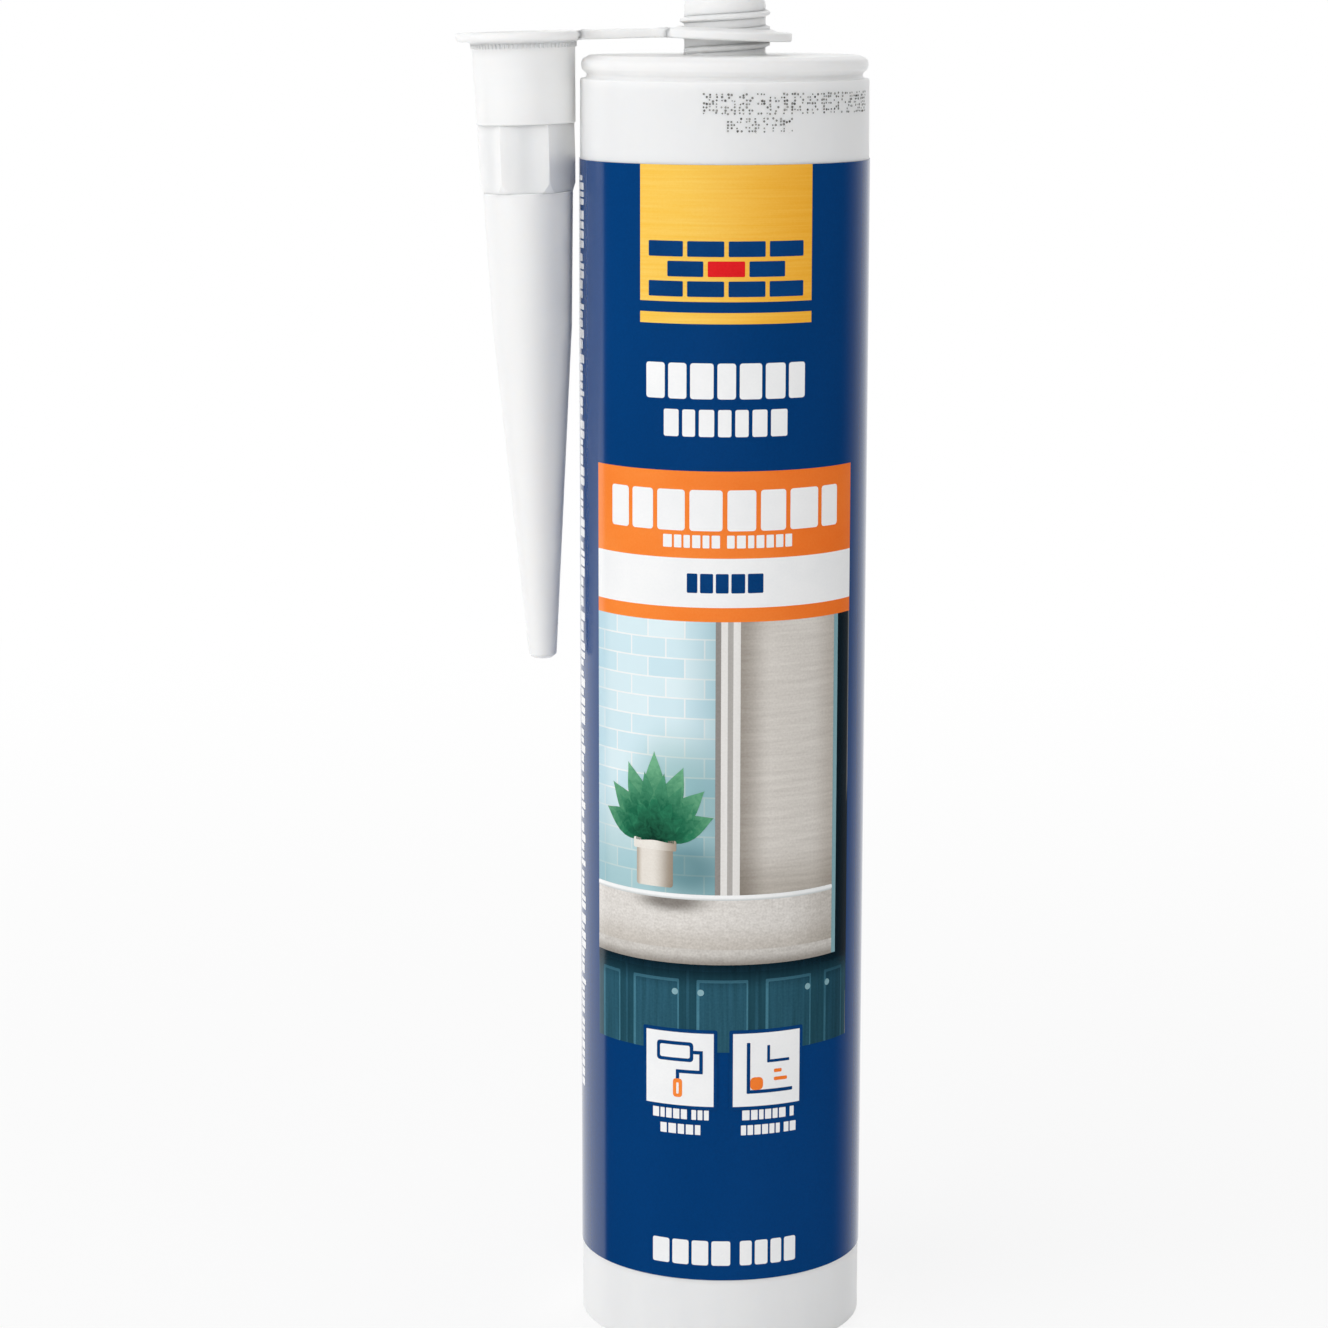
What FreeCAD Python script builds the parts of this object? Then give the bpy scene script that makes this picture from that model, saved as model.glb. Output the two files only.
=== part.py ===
import FreeCAD, Part
import math
import os
import re
import Sketcher

# A sealant cartridge standing on its rear rim.
# Origin: on the barrel's axis, in the plane of the rear rim. +Z runs to the neck.
# The nozzle hangs tip down beside the barrel, on -X, by a strap and a ring round the neck.
# All sizes are in millimetres and degrees.

barrelSizes = {
    "barrel_length": 215.75,
    "barrel_radius": 23.95,
    "barrel_wall": 0.85,
    "rim_round": 0.3,
    "top_draft": 0.1,
    "taper_length": 15.7,
    "step_depth": 3.75,
    "step_round": 0.3,
    "groove_depth": 3.1,
    "groove_inset": 1.15,
    "groove_round": 0.4,
    "groove_lean": 70.0,
    "bead_inset": 0.15,
    "bead_depth": 1.4,
    "bead_round": 0.9,
    "bead_lean": 45.0,
    "shoulder_wall": 2.1,
    "shoulder_edge": 4.7,
    "shoulder_fillet": 0.8,
}

neckSizes = {
    "neck_radius": 6.7,
    "neck_wall": 1.5,
    "neck_height": 10.2,
    "neck_fillet": 0.6,
    "neck_dome": 2.4,
    "tip_wall": 1.2,
    "thread_pitch": 2.5,
    "thread_depth": 0.74,
    "thread_base": 1.3,
    "thread_crest": 0.45,
    "thread_start": 0.6,
    "thread_rise": 6.6,
    "thread_root": 0.2,
}

pistonSizes = {
    "piston_recess": 29.0,
    "piston_height": 17.0,
    "piston_fit": 0.05,
    "lip_height": 2.5,
    "lip_bevel": 0.6,
    "skirt_relief": 0.65,
    "skirt_wall": 1.2,
    "crown_wall": 1.6,
    "crown_bevel": 1.0,
    "rib_count": 8,
    "rib_thickness": 1.2,
    "rib_height": 3.0,
    "hub_radius": 5.0,
    "hub_wall": 1.2,
    "sealant_gap": 0.12,
}

nozzleSizes = {
    "flange_radius": 11.2,
    "flange_thickness": 1.5,
    "flange_round": 0.45,
    "flange_fillet": 1.0,
    "flange_lift": 3.77,
    "socket_radius": 8.54,
    "socket_draft": 0.34,
    "socket_length": 15.0,
    "socket_depth": 11.4,
    "socket_play": 0.16,
    "seat_length": 1.6,
    "hex_corner": 8.15,
    "hex_draft": 0.25,
    "hex_length": 11.2,
    "hex_bevel": 1.4,
    "hex_turn": 29.0,
    "shank_radius": 7.46,
    "shank_draft": 0.84,
    "shank_length": 22.2,
    "spout_length": 56.2,
    "spout_radius": 2.35,
    "tip_radius": 1.7,
    "tip_bevel": 0.6,
    "channel_radius": 6.0,
    "channel_wall": 1.1,
    "orifice_radius": 1.0,
    "nozzle_tilt": 1.5,
    "hang_gap": 0.25,
}

strapSizes = {
    "strap_width": 8.0,
    "strap_flare": 3.0,
    "strap_lap": 0.5,
    "ring_radius": 11.1,
    "ring_thickness": 1.5,
    "ring_round": 0.45,
    "ring_lift": 4.0,
    "ring_tilt": 2.2,
    "ring_play": 0.15,
    "collar_rise": 0.4,
    "collar_width": 1.2,
}

labelSizes = {
    "rear_margin": 12.6,
    "top_margin": 16.85,
    "glue_gap": 0.05,
    "film_thickness": 0.1,
    "ink_thickness": 0.05,
    "ink_gap": 0.09,
    "panel_half": 14.7,
    "panel_height": 21.8,
    "stripe_gap": 1.75,
    "stripe_height": 1.8,
    "heading_gap": 6.3,
    "heading_height": 5.8,
    "heading_half": 13.5,
    "subhead_gap": 1.7,
    "subhead_height": 4.4,
    "subhead_half": 10.3,
    "band_gap": 5.6,
    "band_half": 25.0,
    "band_height": 14.25,
    "band_bar_half": 20.9,
    "band_bar_foot": 4.5,
    "band_bar_height": 6.7,
    "band_mark_half": 6.3,
    "band_mark_foot": 2.5,
    "band_mark_height": 3.1,
    "white_height": 8.1,
    "line_height": 2.35,
    "picture_foot": 39.8,
    "worktop_height": 11.0,
    "cabinet_height": 15.0,
    "plaster_left": 2.0,
    "cupboard_width": 4.5,
    "bead_line": 0.9,
    "tile_half": 5.9,
    "tile_offset": 7.5,
    "tile_height": 12.6,
    "tile_foot": 30.4,
    "tile_border": 0.6,
    "caption_half": 4.9,
    "caption_height": 1.7,
    "caption_gap": 1.6,
    "volume_half": 12.9,
    "volume_height": 4.0,
    "volume_foot": 2.8,
    "brick_foot": 0.8,
    "brick_length": 6.0,
    "brick_height": 2.5,
    "brick_joint": 0.7,
    "brick_courses": 3,
    "brick_count": 4,
    "leaf_length": 15.0,
    "leaf_fall": 0.057,
    "leaf_round": 9.0,
    "leaf_spread": 24.0,
    "leaf_count": 7,
    "leaf_root": 1.5,
    "pot_width": 8.0,
    "pot_height": 8.0,
    "plant_inset": 13.0,
}

# Both icons are measured from the middle of their tile's foot.
iconSizes = {
    "icon_line": 0.7,
    "sleeve_left": 3.6,
    "sleeve_right": 2.4,
    "sleeve_foot": 8.0,
    "sleeve_height": 3.0,
    "arm_reach": 3.8,
    "arm_foot": 6.4,
    "grip_half": 0.9,
    "grip_foot": 1.4,
    "grip_height": 3.2,
    "corner_left": 2.9,
    "corner_right": 4.4,
    "corner_foot": 3.0,
    "corner_height": 8.0,
    "corner_bead": 1.7,
}

groups = (barrelSizes, neckSizes, pistonSizes, nozzleSizes, strapSizes, labelSizes, iconSizes)
sizes = {alias: size for group in groups for alias, size in group.items()}

doc = FreeCAD.newDocument("cartridge")
sheet = doc.addObject("Spreadsheet::Sheet", "Sizes")
for row, (alias, size) in enumerate(sizes.items(), 1):
    sheet.set(f"A{row}", alias)
    sheet.set(f"B{row}", str(size))
    sheet.setAlias(f"B{row}", alias)
doc.recompute()


# A formula is written with the sheet's own aliases. Python reads its value for a first
# drawing, and each constraint or property keeps the formula itself.
def bound(formula):
    def cell(word):
        return f"Sizes.{word[0]}" if word[0] in sizes else word[0]
    return re.sub(r"[a-z]\w*", cell, str(formula))


def value(formula):
    return float(sheet.evalExpression(bound(formula)))


def bind(item, path, formula):
    item.setExpression(path, bound(formula))


def newBody(label):
    body = doc.addObject("PartDesign::Body", label)
    body.Label = label
    body.AllowCompound = True
    return body


def originPart(body, role):
    return next(item for item in body.Origin.OriginFeatures if item.Role == role)


def newSketch(body, name, role="XZ_Plane"):
    sketch = body.newObject("Sketcher::SketchObject", name)
    sketch.AttachmentSupport = [(originPart(body, role), "")]
    sketch.MapMode = "FlatFace"
    return sketch


# Moves a sketch in its own plane and turns it about one of its own axes.
def offsetSketch(sketch, across="0", up="0", out="0", turn="0", about=(0, 0, 1)):
    start = FreeCAD.Rotation(FreeCAD.Vector(*about), max(value(turn), 1.0))
    sketch.AttachmentOffset = FreeCAD.Placement(FreeCAD.Vector(0, 0, 0), start)
    bind(sketch, ".AttachmentOffset.Base.x", across)
    bind(sketch, ".AttachmentOffset.Base.y", up)
    bind(sketch, ".AttachmentOffset.Base.z", out)
    bind(sketch, ".AttachmentOffset.Rotation.Angle", turn)


# A segment is straight, or an arc of a stated radius that bulges to the left (1) or
# right (-1) of the way from its first corner to its second.
def segment(start, end, arc):
    if arc is None:
        return Part.LineSegment(start, end)
    radius, side = value(arc[0]), arc[1]
    chord = end - start
    sag = radius - math.sqrt(max(radius**2 - (chord.Length / 2)**2, 0.0))
    across = FreeCAD.Vector(-chord.y, chord.x, 0).normalize() * side
    return Part.Arc(start, (start + end) * 0.5 + across * sag, end)


def pinCorner(sketch, geometry, position, corner, tag):
    for axis, formula in zip("XY", corner):
        if str(formula) == "0":
            line = -2 if axis == "X" else -1
            sketch.addConstraint(Sketcher.Constraint("PointOnObject", geometry, position, line))
            continue
        kind = f"Distance{axis}"
        sketch.addConstraint(Sketcher.Constraint(kind, -1, 1, geometry, position, value(formula)))
        name = f"{tag}{axis}"
        sketch.renameConstraint(sketch.ConstraintCount - 1, name)
        bind(sketch, f"Constraints.{name}", formula)


# Draws a closed outline from its corners. Each corner is an (x, y) pair of formulas and,
# where an arc leaves it, a third item that gives the arc.
def drawOutline(sketch, corners, tag="corner"):
    spots = [FreeCAD.Vector(value(corner[0]), value(corner[1]), 0) for corner in corners]
    ends = []
    for index, corner in enumerate(corners):
        start = spots[index]
        end = spots[(index + 1) % len(spots)]
        arc = corner[2] if len(corner) > 2 else None
        geometry = sketch.addGeometry(segment(start, end, arc))
        first = 1 if sketch.getPoint(geometry, 1).distanceToPoint(start) < 1e-6 else 2
        ends.append((geometry, first, 3 - first))
    for index, corner in enumerate(corners):
        geometry, first, last = ends[index]
        after = ends[(index + 1) % len(ends)]
        sketch.addConstraint(Sketcher.Constraint("Coincident", geometry, last, after[0], after[1]))
        pinCorner(sketch, geometry, first, corner[:2], f"{tag}{index}")
        if len(corner) > 2:
            radius = value(corner[2][0])
            sketch.addConstraint(Sketcher.Constraint("Radius", geometry, radius))
            name = f"{tag}{index}R"
            sketch.renameConstraint(sketch.ConstraintCount - 1, name)
            bind(sketch, f"Constraints.{name}", corner[2][0])


def spin(body, kind, name, sketch, angle="360"):
    feature = body.newObject(f"PartDesign::{kind}", name)
    feature.Profile = sketch
    feature.ReferenceAxis = (sketch, ["V_Axis"])
    bind(feature, "Angle", angle)
    return feature


def rectangle(left, right, low, high):
    return [(left, low), (right, low), (right, high), (left, high)]


# Radii and heights that several pieces share. The nozzle, as it swings round the neck,
# passes over two layers of ink.
bore = "(barrel_radius - barrel_wall)"
topRadius = "(barrel_radius - top_draft)"
shoulderFloor = "(barrel_length - shoulder_edge)"
neckBore = "(neck_radius - neck_wall)"
neckTop = "(barrel_length + neck_height)"
neckFloor = "(barrel_length - shoulder_wall)"
threadRadius = "(neck_radius + thread_depth)"
crownFace = "(piston_recess + piston_height)"
labelEnd = "(barrel_length - top_margin)"
filmOuter = "(barrel_radius + glue_gap + film_thickness)"
layerStep = "(ink_thickness + ink_gap)"
passedPrint = f"({filmOuter} + 2 * {layerStep})"


# The barrel is one moulding: a tube, a grooved bead, a flat shoulder and a closed neck.
def makeBarrel():
    body = newBody("cartridge_barrel")
    wall = newSketch(body, "barrel_outline")
    grooveZ = "(barrel_length - groove_depth)"
    stepZ = "(barrel_length - step_depth)"
    grooveRadius = f"({topRadius} - groove_inset)"
    beadRadius = f"({topRadius} - bead_inset)"
    beadZ = "(barrel_length - bead_depth)"
    drawOutline(wall, [
        (bore, "0"),
        ("barrel_radius - rim_round", "0", ("rim_round", -1)),
        ("barrel_radius", "rim_round"),
        ("barrel_radius", f"{stepZ} - taper_length"),
        (topRadius, f"{stepZ} - step_round", ("step_round", -1)),
        (f"{topRadius} - step_round", stepZ),
        (f"{grooveRadius} + groove_round * (1 - cos(groove_lean))",
         f"{grooveZ} - groove_round * sin(groove_lean)", ("groove_round", 1)),
        (f"{grooveRadius} + groove_round * (1 - cos(bead_lean))",
         f"{grooveZ} + groove_round * sin(bead_lean)"),
        (f"{beadRadius} - bead_round * (1 - cos(bead_lean))",
         f"{beadZ} - bead_round * sin(bead_lean)", ("bead_round", -1)),
        (beadRadius, beadZ, ("bead_depth", -1)),
        (f"{beadRadius} - bead_depth", "barrel_length"),
        ("neck_radius + neck_fillet", "barrel_length", ("neck_fillet", 1)),
        ("neck_radius", "barrel_length + neck_fillet"),
        ("neck_radius", f"{neckTop} - neck_dome", ("neck_dome", -1)),
        ("neck_radius - neck_dome", neckTop),
        ("0", neckTop),
        ("0", f"{neckTop} - tip_wall"),
        ("neck_radius - neck_dome", f"{neckTop} - tip_wall"),
        (neckBore, f"{neckTop} - neck_dome"),
        (neckBore, neckFloor),
        (f"{bore} - shoulder_fillet", shoulderFloor, ("shoulder_fillet", -1)),
        (bore, f"{shoulderFloor} - shoulder_fillet"),
    ])
    spin(body, "Revolution", "barrel_wall", wall)

    ridge = newSketch(body, "thread_section")
    middle = "(barrel_length + thread_start)"
    drawOutline(ridge, [
        ("thread_root - neck_radius", f"{middle} - thread_base / 2"),
        ("thread_root - neck_radius", f"{middle} + thread_base / 2"),
        (f"-{threadRadius}", f"{middle} + thread_crest / 2"),
        (f"-{threadRadius}", f"{middle} - thread_crest / 2"),
    ])
    thread = body.newObject("PartDesign::AdditiveHelix", "neck_thread")
    thread.Profile = ridge
    thread.ReferenceAxis = (ridge, ["V_Axis"])
    thread.Mode = "pitch-height-angle"
    bind(thread, "Pitch", "thread_pitch")
    bind(thread, "Height", "thread_rise")
    return body


# The piston is a cup, open to the rear, with two sealing lips and low ribs under its crown.
def makePiston():
    body = newBody("piston")
    lip = f"({bore} - piston_fit)"
    skirt = f"({bore} - skirt_relief)"
    inner = f"({skirt} - skirt_wall)"
    crownUnder = f"({crownFace} - crown_wall)"
    cup = newSketch(body, "piston_outline")
    drawOutline(cup, [
        (inner, "piston_recess"),
        (f"{lip} - lip_bevel", "piston_recess"),
        (lip, "piston_recess + lip_bevel"),
        (lip, "piston_recess + lip_height"),
        (skirt, "piston_recess + lip_height + lip_bevel"),
        (skirt, f"{crownFace} - crown_bevel - lip_height - lip_bevel"),
        (lip, f"{crownFace} - crown_bevel - lip_height"),
        (lip, f"{crownFace} - crown_bevel"),
        (f"{lip} - crown_bevel", crownFace),
        ("0", crownFace),
        ("0", crownUnder),
        (inner, crownUnder),
    ])
    spin(body, "Revolution", "piston_cup", cup)

    hub = newSketch(body, "hub_outline")
    drawOutline(hub, rectangle("hub_radius - hub_wall", "hub_radius",
                               f"{crownUnder} - rib_height", f"{crownFace} - crown_wall / 2"))
    spin(body, "Revolution", "piston_hub", hub)

    plan = newSketch(body, "rib_outline", "XY_Plane")
    offsetSketch(plan, out=f"{crownUnder} - rib_height")
    drawOutline(plan, rectangle("hub_radius - hub_wall / 2", f"{inner} + skirt_wall / 2",
                                "-rib_thickness / 2", "rib_thickness / 2"))
    rib = body.newObject("PartDesign::Pad", "piston_rib")
    rib.Profile = plan
    bind(rib, "Length", "rib_height + crown_wall / 2")
    ribs = body.newObject("PartDesign::PolarPattern", "piston_ribs")
    ribs.Originals = [rib]
    ribs.Axis = (originPart(body, "Z_Axis"), [""])
    ribs.Angle = 360
    bind(ribs, "Occurrences", "rib_count")
    body.Tip = ribs
    return body


# The sealant fills the barrel from the piston's crown to the shoulder, and the neck.
def makeSealant():
    body = newBody("sealant")
    fill = newSketch(body, "sealant_outline")
    gap = "sealant_gap"
    drawOutline(fill, [
        ("0", crownFace),
        (f"{bore} - piston_fit - crown_bevel", crownFace),
        (f"{bore} - {gap}", f"{crownFace} + crown_bevel"),
        (f"{bore} - {gap}", f"{shoulderFloor} - shoulder_fillet - {gap}"),
        (f"{bore} - shoulder_fillet - {gap}", f"{shoulderFloor} - {gap}"),
        (f"{neckBore} - {gap}", f"{neckFloor} - {gap}"),
        (f"{neckBore} - {gap}", f"{neckTop} - neck_dome - {gap}"),
        (f"neck_radius - neck_dome - {gap}", f"{neckTop} - tip_wall - {gap}"),
        ("0", f"{neckTop} - tip_wall - {gap}"),
    ])
    spin(body, "Revolution", "sealant_fill", fill)
    return body


# One rectangle of ink or film that wraps part of the barrel. left and right are measured
# along the label from its front centre line, and layer counts the inks from the film out.
def wrapPatch(body, name, left, right, low, high, layer):
    sketch = newSketch(body, f"{name}_outline", "YZ_Plane")
    inner = f"({filmOuter} + ink_gap + {layer} * {layerStep})"
    middle = f"(180 + ({left} + {right}) / 2 / {filmOuter} * 180 / pi)"
    offsetSketch(sketch, turn=middle, about=(0, 1, 0))
    drawOutline(sketch, rectangle(inner, f"{inner} + ink_thickness", low, high))
    patch = spin(body, "Revolution", name, sketch,
                 f"(({right}) - ({left})) / {filmOuter} * 180 / pi")
    patch.Midplane = True


def makeLabel():
    body = newBody("label_film")
    film = newSketch(body, "film_outline")
    drawOutline(film, rectangle("barrel_radius + glue_gap", filmOuter, "rear_margin", labelEnd))
    spin(body, "Revolution", "film_wrap", film)
    return body


# Heights of the printed fields, counted down from the label's top edge and up from its foot.
panelFoot = f"({labelEnd} - panel_height)"
stripeTop = f"({panelFoot} - stripe_gap)"
headingTop = f"({stripeTop} - stripe_height - heading_gap)"
subheadTop = f"({headingTop} - heading_height - subhead_gap)"
bandTop = f"({subheadTop} - subhead_height - band_gap)"
whiteTop = f"({bandTop} - band_height)"
lineTop = f"({whiteTop} - white_height)"
pictureTop = f"({lineTop} - line_height)"
pictureFoot = "(rear_margin + picture_foot)"
tileFoot = "(rear_margin + tile_foot)"
cabinetTop = f"({pictureFoot} + cabinet_height)"
worktopTop = f"({cabinetTop} + worktop_height)"
cupboardLeft = "(band_half - cupboard_width)"
plantMiddle = "(plant_inset - band_half)"


def makeGold():
    body = newBody("print_gold")
    wrapPatch(body, "gold_panel", "-panel_half", "panel_half", panelFoot, labelEnd, 0)
    wrapPatch(body, "gold_stripe", "-panel_half", "panel_half",
              f"{stripeTop} - stripe_height", stripeTop, 0)
    return body


# Icon strokes are boxes (left, right, low, high) from the middle of a tile's foot.
# The left icon is a paint roller, the right one a bead of sealant in a corner.
def iconStrokes(body, side, strokes):
    for name, (left, right, low, high) in strokes.items():
        middle = f"{side} * tile_offset"
        wrapPatch(body, name, f"{middle} + {left}", f"{middle} + {right}",
                  f"{tileFoot} + {low}", f"{tileFoot} + {high}", 3)


# The mark on the gold panel is a small brick wall. Every other course is set off by half a
# brick, and one brick of the middle course is red.
def brickPlaces():
    places = []
    pitch = "(brick_length + brick_joint)"
    wall = f"(brick_count * {pitch} - brick_joint)"
    for course in range(int(value("brick_courses"))):
        low = f"({panelFoot} + brick_foot + {course} * (brick_height + brick_joint))"
        offset = f"({course % 2} * {pitch} / 2)"
        for index in range(int(value("brick_count")) - course % 2):
            left = f"(-{wall} / 2 + {offset} + {index} * {pitch})"
            places.append((course, index, left, low))
    return places


def makeBricks(body, red):
    for course, index, left, low in brickPlaces():
        if (course == 1 and index == 1) == red:
            wrapPatch(body, f"brick_{course}_{index}", left, f"{left} + brick_length",
                      low, f"{low} + brick_height", 1)


def makeOrange():
    body = newBody("print_orange")
    wrapPatch(body, "orange_band", "-band_half", "band_half", whiteTop, bandTop, 0)
    wrapPatch(body, "orange_line", "-band_half", "band_half", pictureTop, lineTop, 0)
    iconStrokes(body, -1, {
        "roller_grip": ("-grip_half", "grip_half", "grip_foot", "grip_foot + grip_height"),
    })
    iconStrokes(body, 1, {
        "corner_bead": ("-corner_left", "corner_bead - corner_left", "corner_foot",
                        "corner_foot + corner_bead"),
    })
    return body


def makeRed():
    body = newBody("print_red")
    makeBricks(body, True)
    return body


# White holds the band under the orange one, the two picture tiles, the bars that stand
# where lines of text would be, and the bead behind the picture's worktop.
def makeWhite():
    body = newBody("print_white")
    wrapPatch(body, "white_band", "-band_half", "band_half", lineTop, whiteTop, 0)
    wrapPatch(body, "heading_bar", "-heading_half", "heading_half",
              f"{headingTop} - heading_height", headingTop, 0)
    wrapPatch(body, "subhead_bar", "-subhead_half", "subhead_half",
              f"{subheadTop} - subhead_height", subheadTop, 0)
    wrapPatch(body, "band_bar", "-band_bar_half", "band_bar_half",
              f"{whiteTop} + band_bar_foot", f"{whiteTop} + band_bar_foot + band_bar_height", 1)
    wrapPatch(body, "picture_bead", "-band_half", cupboardLeft,
              worktopTop, f"{worktopTop} + bead_line", 1)
    wrapPatch(body, "volume_bar", "-volume_half", "volume_half",
              "rear_margin + volume_foot", "rear_margin + volume_foot + volume_height", 0)
    for side, name in ((-1, "left"), (1, "right")):
        middle = f"{side} * tile_offset"
        wrapPatch(body, f"{name}_tile", f"{middle} - tile_half", f"{middle} + tile_half",
                  tileFoot, f"{tileFoot} + tile_height", 2)
        wrapPatch(body, f"{name}_caption", f"{middle} - caption_half",
                  f"{middle} + caption_half",
                  f"{tileFoot} - caption_gap - caption_height", f"{tileFoot} - caption_gap", 0)
    return body


# Dark blue holds the bricks on the gold panel, the mark on the white band, the tiles'
# borders and the icons' lines.
def makeNavy():
    body = newBody("print_navy")
    armTop = "(sleeve_foot + sleeve_height / 2 + icon_line / 2)"
    makeBricks(body, False)
    wrapPatch(body, "band_mark", "-band_mark_half", "band_mark_half",
              f"{lineTop} + band_mark_foot", f"{lineTop} + band_mark_foot + band_mark_height", 1)
    for side, name in ((-1, "left"), (1, "right")):
        middle = f"{side} * tile_offset"
        wrapPatch(body, f"{name}_border", f"{middle} - tile_half - tile_border",
                  f"{middle} + tile_half + tile_border",
                  f"{tileFoot} - tile_border", f"{tileFoot} + tile_height + tile_border", 1)
    iconStrokes(body, -1, {
        "roller_sleeve": ("-sleeve_left", "sleeve_right", "sleeve_foot",
                          "sleeve_foot + sleeve_height"),
        "roller_arm_top": ("sleeve_right", "arm_reach", f"{armTop} - icon_line", armTop),
        "roller_arm_side": ("arm_reach - icon_line", "arm_reach", "arm_foot",
                            f"{armTop} - icon_line"),
        "roller_arm_foot": ("-icon_line / 2", "arm_reach", "arm_foot - icon_line", "arm_foot"),
        "roller_stem": ("-icon_line / 2", "icon_line / 2", "grip_foot + grip_height",
                        "arm_foot - icon_line"),
    })
    iconStrokes(body, 1, {
        "corner_wall": ("-corner_left - icon_line", "-corner_left", "corner_foot - icon_line",
                        "corner_foot + corner_height"),
        "corner_floor": ("-corner_left", "corner_right", "corner_foot - icon_line",
                         "corner_foot"),
    })
    return body


# The picture: a pale tiled wall beside grey plaster, a stone worktop over a teal cabinet, a
# tall cupboard at the right edge, and a potted plant.
def makePictureWall():
    body = newBody("print_picture_wall")
    wrapPatch(body, "picture_wall", "-band_half", "plaster_left", worktopTop, pictureTop, 0)
    return body


def makePicturePlaster():
    body = newBody("print_picture_plaster")
    wrapPatch(body, "picture_plaster", "plaster_left", cupboardLeft, worktopTop, pictureTop, 0)
    return body


def makePictureWorktop():
    body = newBody("print_picture_worktop")
    wrapPatch(body, "picture_worktop", "-band_half", cupboardLeft, cabinetTop, worktopTop, 0)
    return body


def makePictureCabinet():
    body = newBody("print_picture_cabinet")
    wrapPatch(body, "picture_cabinet", "-band_half", "band_half", pictureFoot, cabinetTop, 0)
    wrapPatch(body, "picture_cupboard", cupboardLeft, "band_half", cabinetTop, pictureTop, 0)
    return body


# Leaves are drawn flat in front of the barrel, then trimmed to one layer of ink.
def makePicturePlant():
    body = newBody("print_picture_plant")
    stem = f"({worktopTop} + 2 * bead_line + pot_height)"
    for index in range(int(value("leaf_count"))):
        lean = f"(({index} - (leaf_count - 1) / 2) * leaf_spread)"
        reach = f"(leaf_length - leaf_fall * abs({lean}))"
        root = (f"{plantMiddle} + leaf_root * sin({lean})", f"{stem} + leaf_root * cos({lean})")
        crown = (f"{plantMiddle} + {reach} * sin({lean})", f"{stem} + {reach} * cos({lean})")
        leaf = newSketch(body, f"leaf_outline_{index}")
        drawOutline(leaf, [(*root, ("leaf_round", 1)), (*crown, ("leaf_round", 1))])
        pad = body.newObject("PartDesign::Pad", f"leaf_pad_{index}")
        pad.Profile = leaf
        bind(pad, "Length", "2 * barrel_radius")
    layerInner = f"({filmOuter} + ink_gap + 2 * {layerStep})"
    for name, low, high in (("leaf_inside", "0", layerInner),
                            ("leaf_outside", f"{layerInner} + ink_thickness",
                             "3 * barrel_radius")):
        waste = newSketch(body, f"{name}_outline")
        drawOutline(waste, rectangle(low, high, "rear_margin", labelEnd))
        spin(body, "Groove", name, waste)
    return body


def makePicturePot():
    body = newBody("print_picture_pot")
    wrapPatch(body, "plant_pot", f"{plantMiddle} - pot_width / 2", f"{plantMiddle} + pot_width / 2",
              f"{worktopTop} + 2 * bead_line", f"{worktopTop} + 2 * bead_line + pot_height", 1)
    return body


# Nozzle frame: Z on its own axis, zero at the flange's top face, X towards the neck.
hexTop = "(-socket_length)"
hexFoot = "(-socket_length - hex_length)"
shankFoot = "(-socket_length - hex_length - shank_length)"
tipFoot = "(-socket_length - hex_length - shank_length - spout_length)"
socketFoot = "(socket_radius - socket_draft)"
shankEnd = "(shank_radius - shank_draft)"
hexEnd = "(hex_corner - hex_draft)"
socketBore = f"({threadRadius} + socket_play)"
nozzleReach = (f"({passedPrint} + hang_gap + max(socket_radius; "
               f"{hexEnd} + (socket_length + hex_length) * tan(nozzle_tilt)))")
ringDrop = "(ring_lift - flange_lift)"
ringAcross = f"({nozzleReach} * cos(nozzle_tilt) + {ringDrop} * sin(nozzle_tilt))"
ringUp = f"({ringDrop} * cos(nozzle_tilt) - {nozzleReach} * sin(nozzle_tilt))"
ringBore = f"({threadRadius} + ring_play)"


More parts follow.
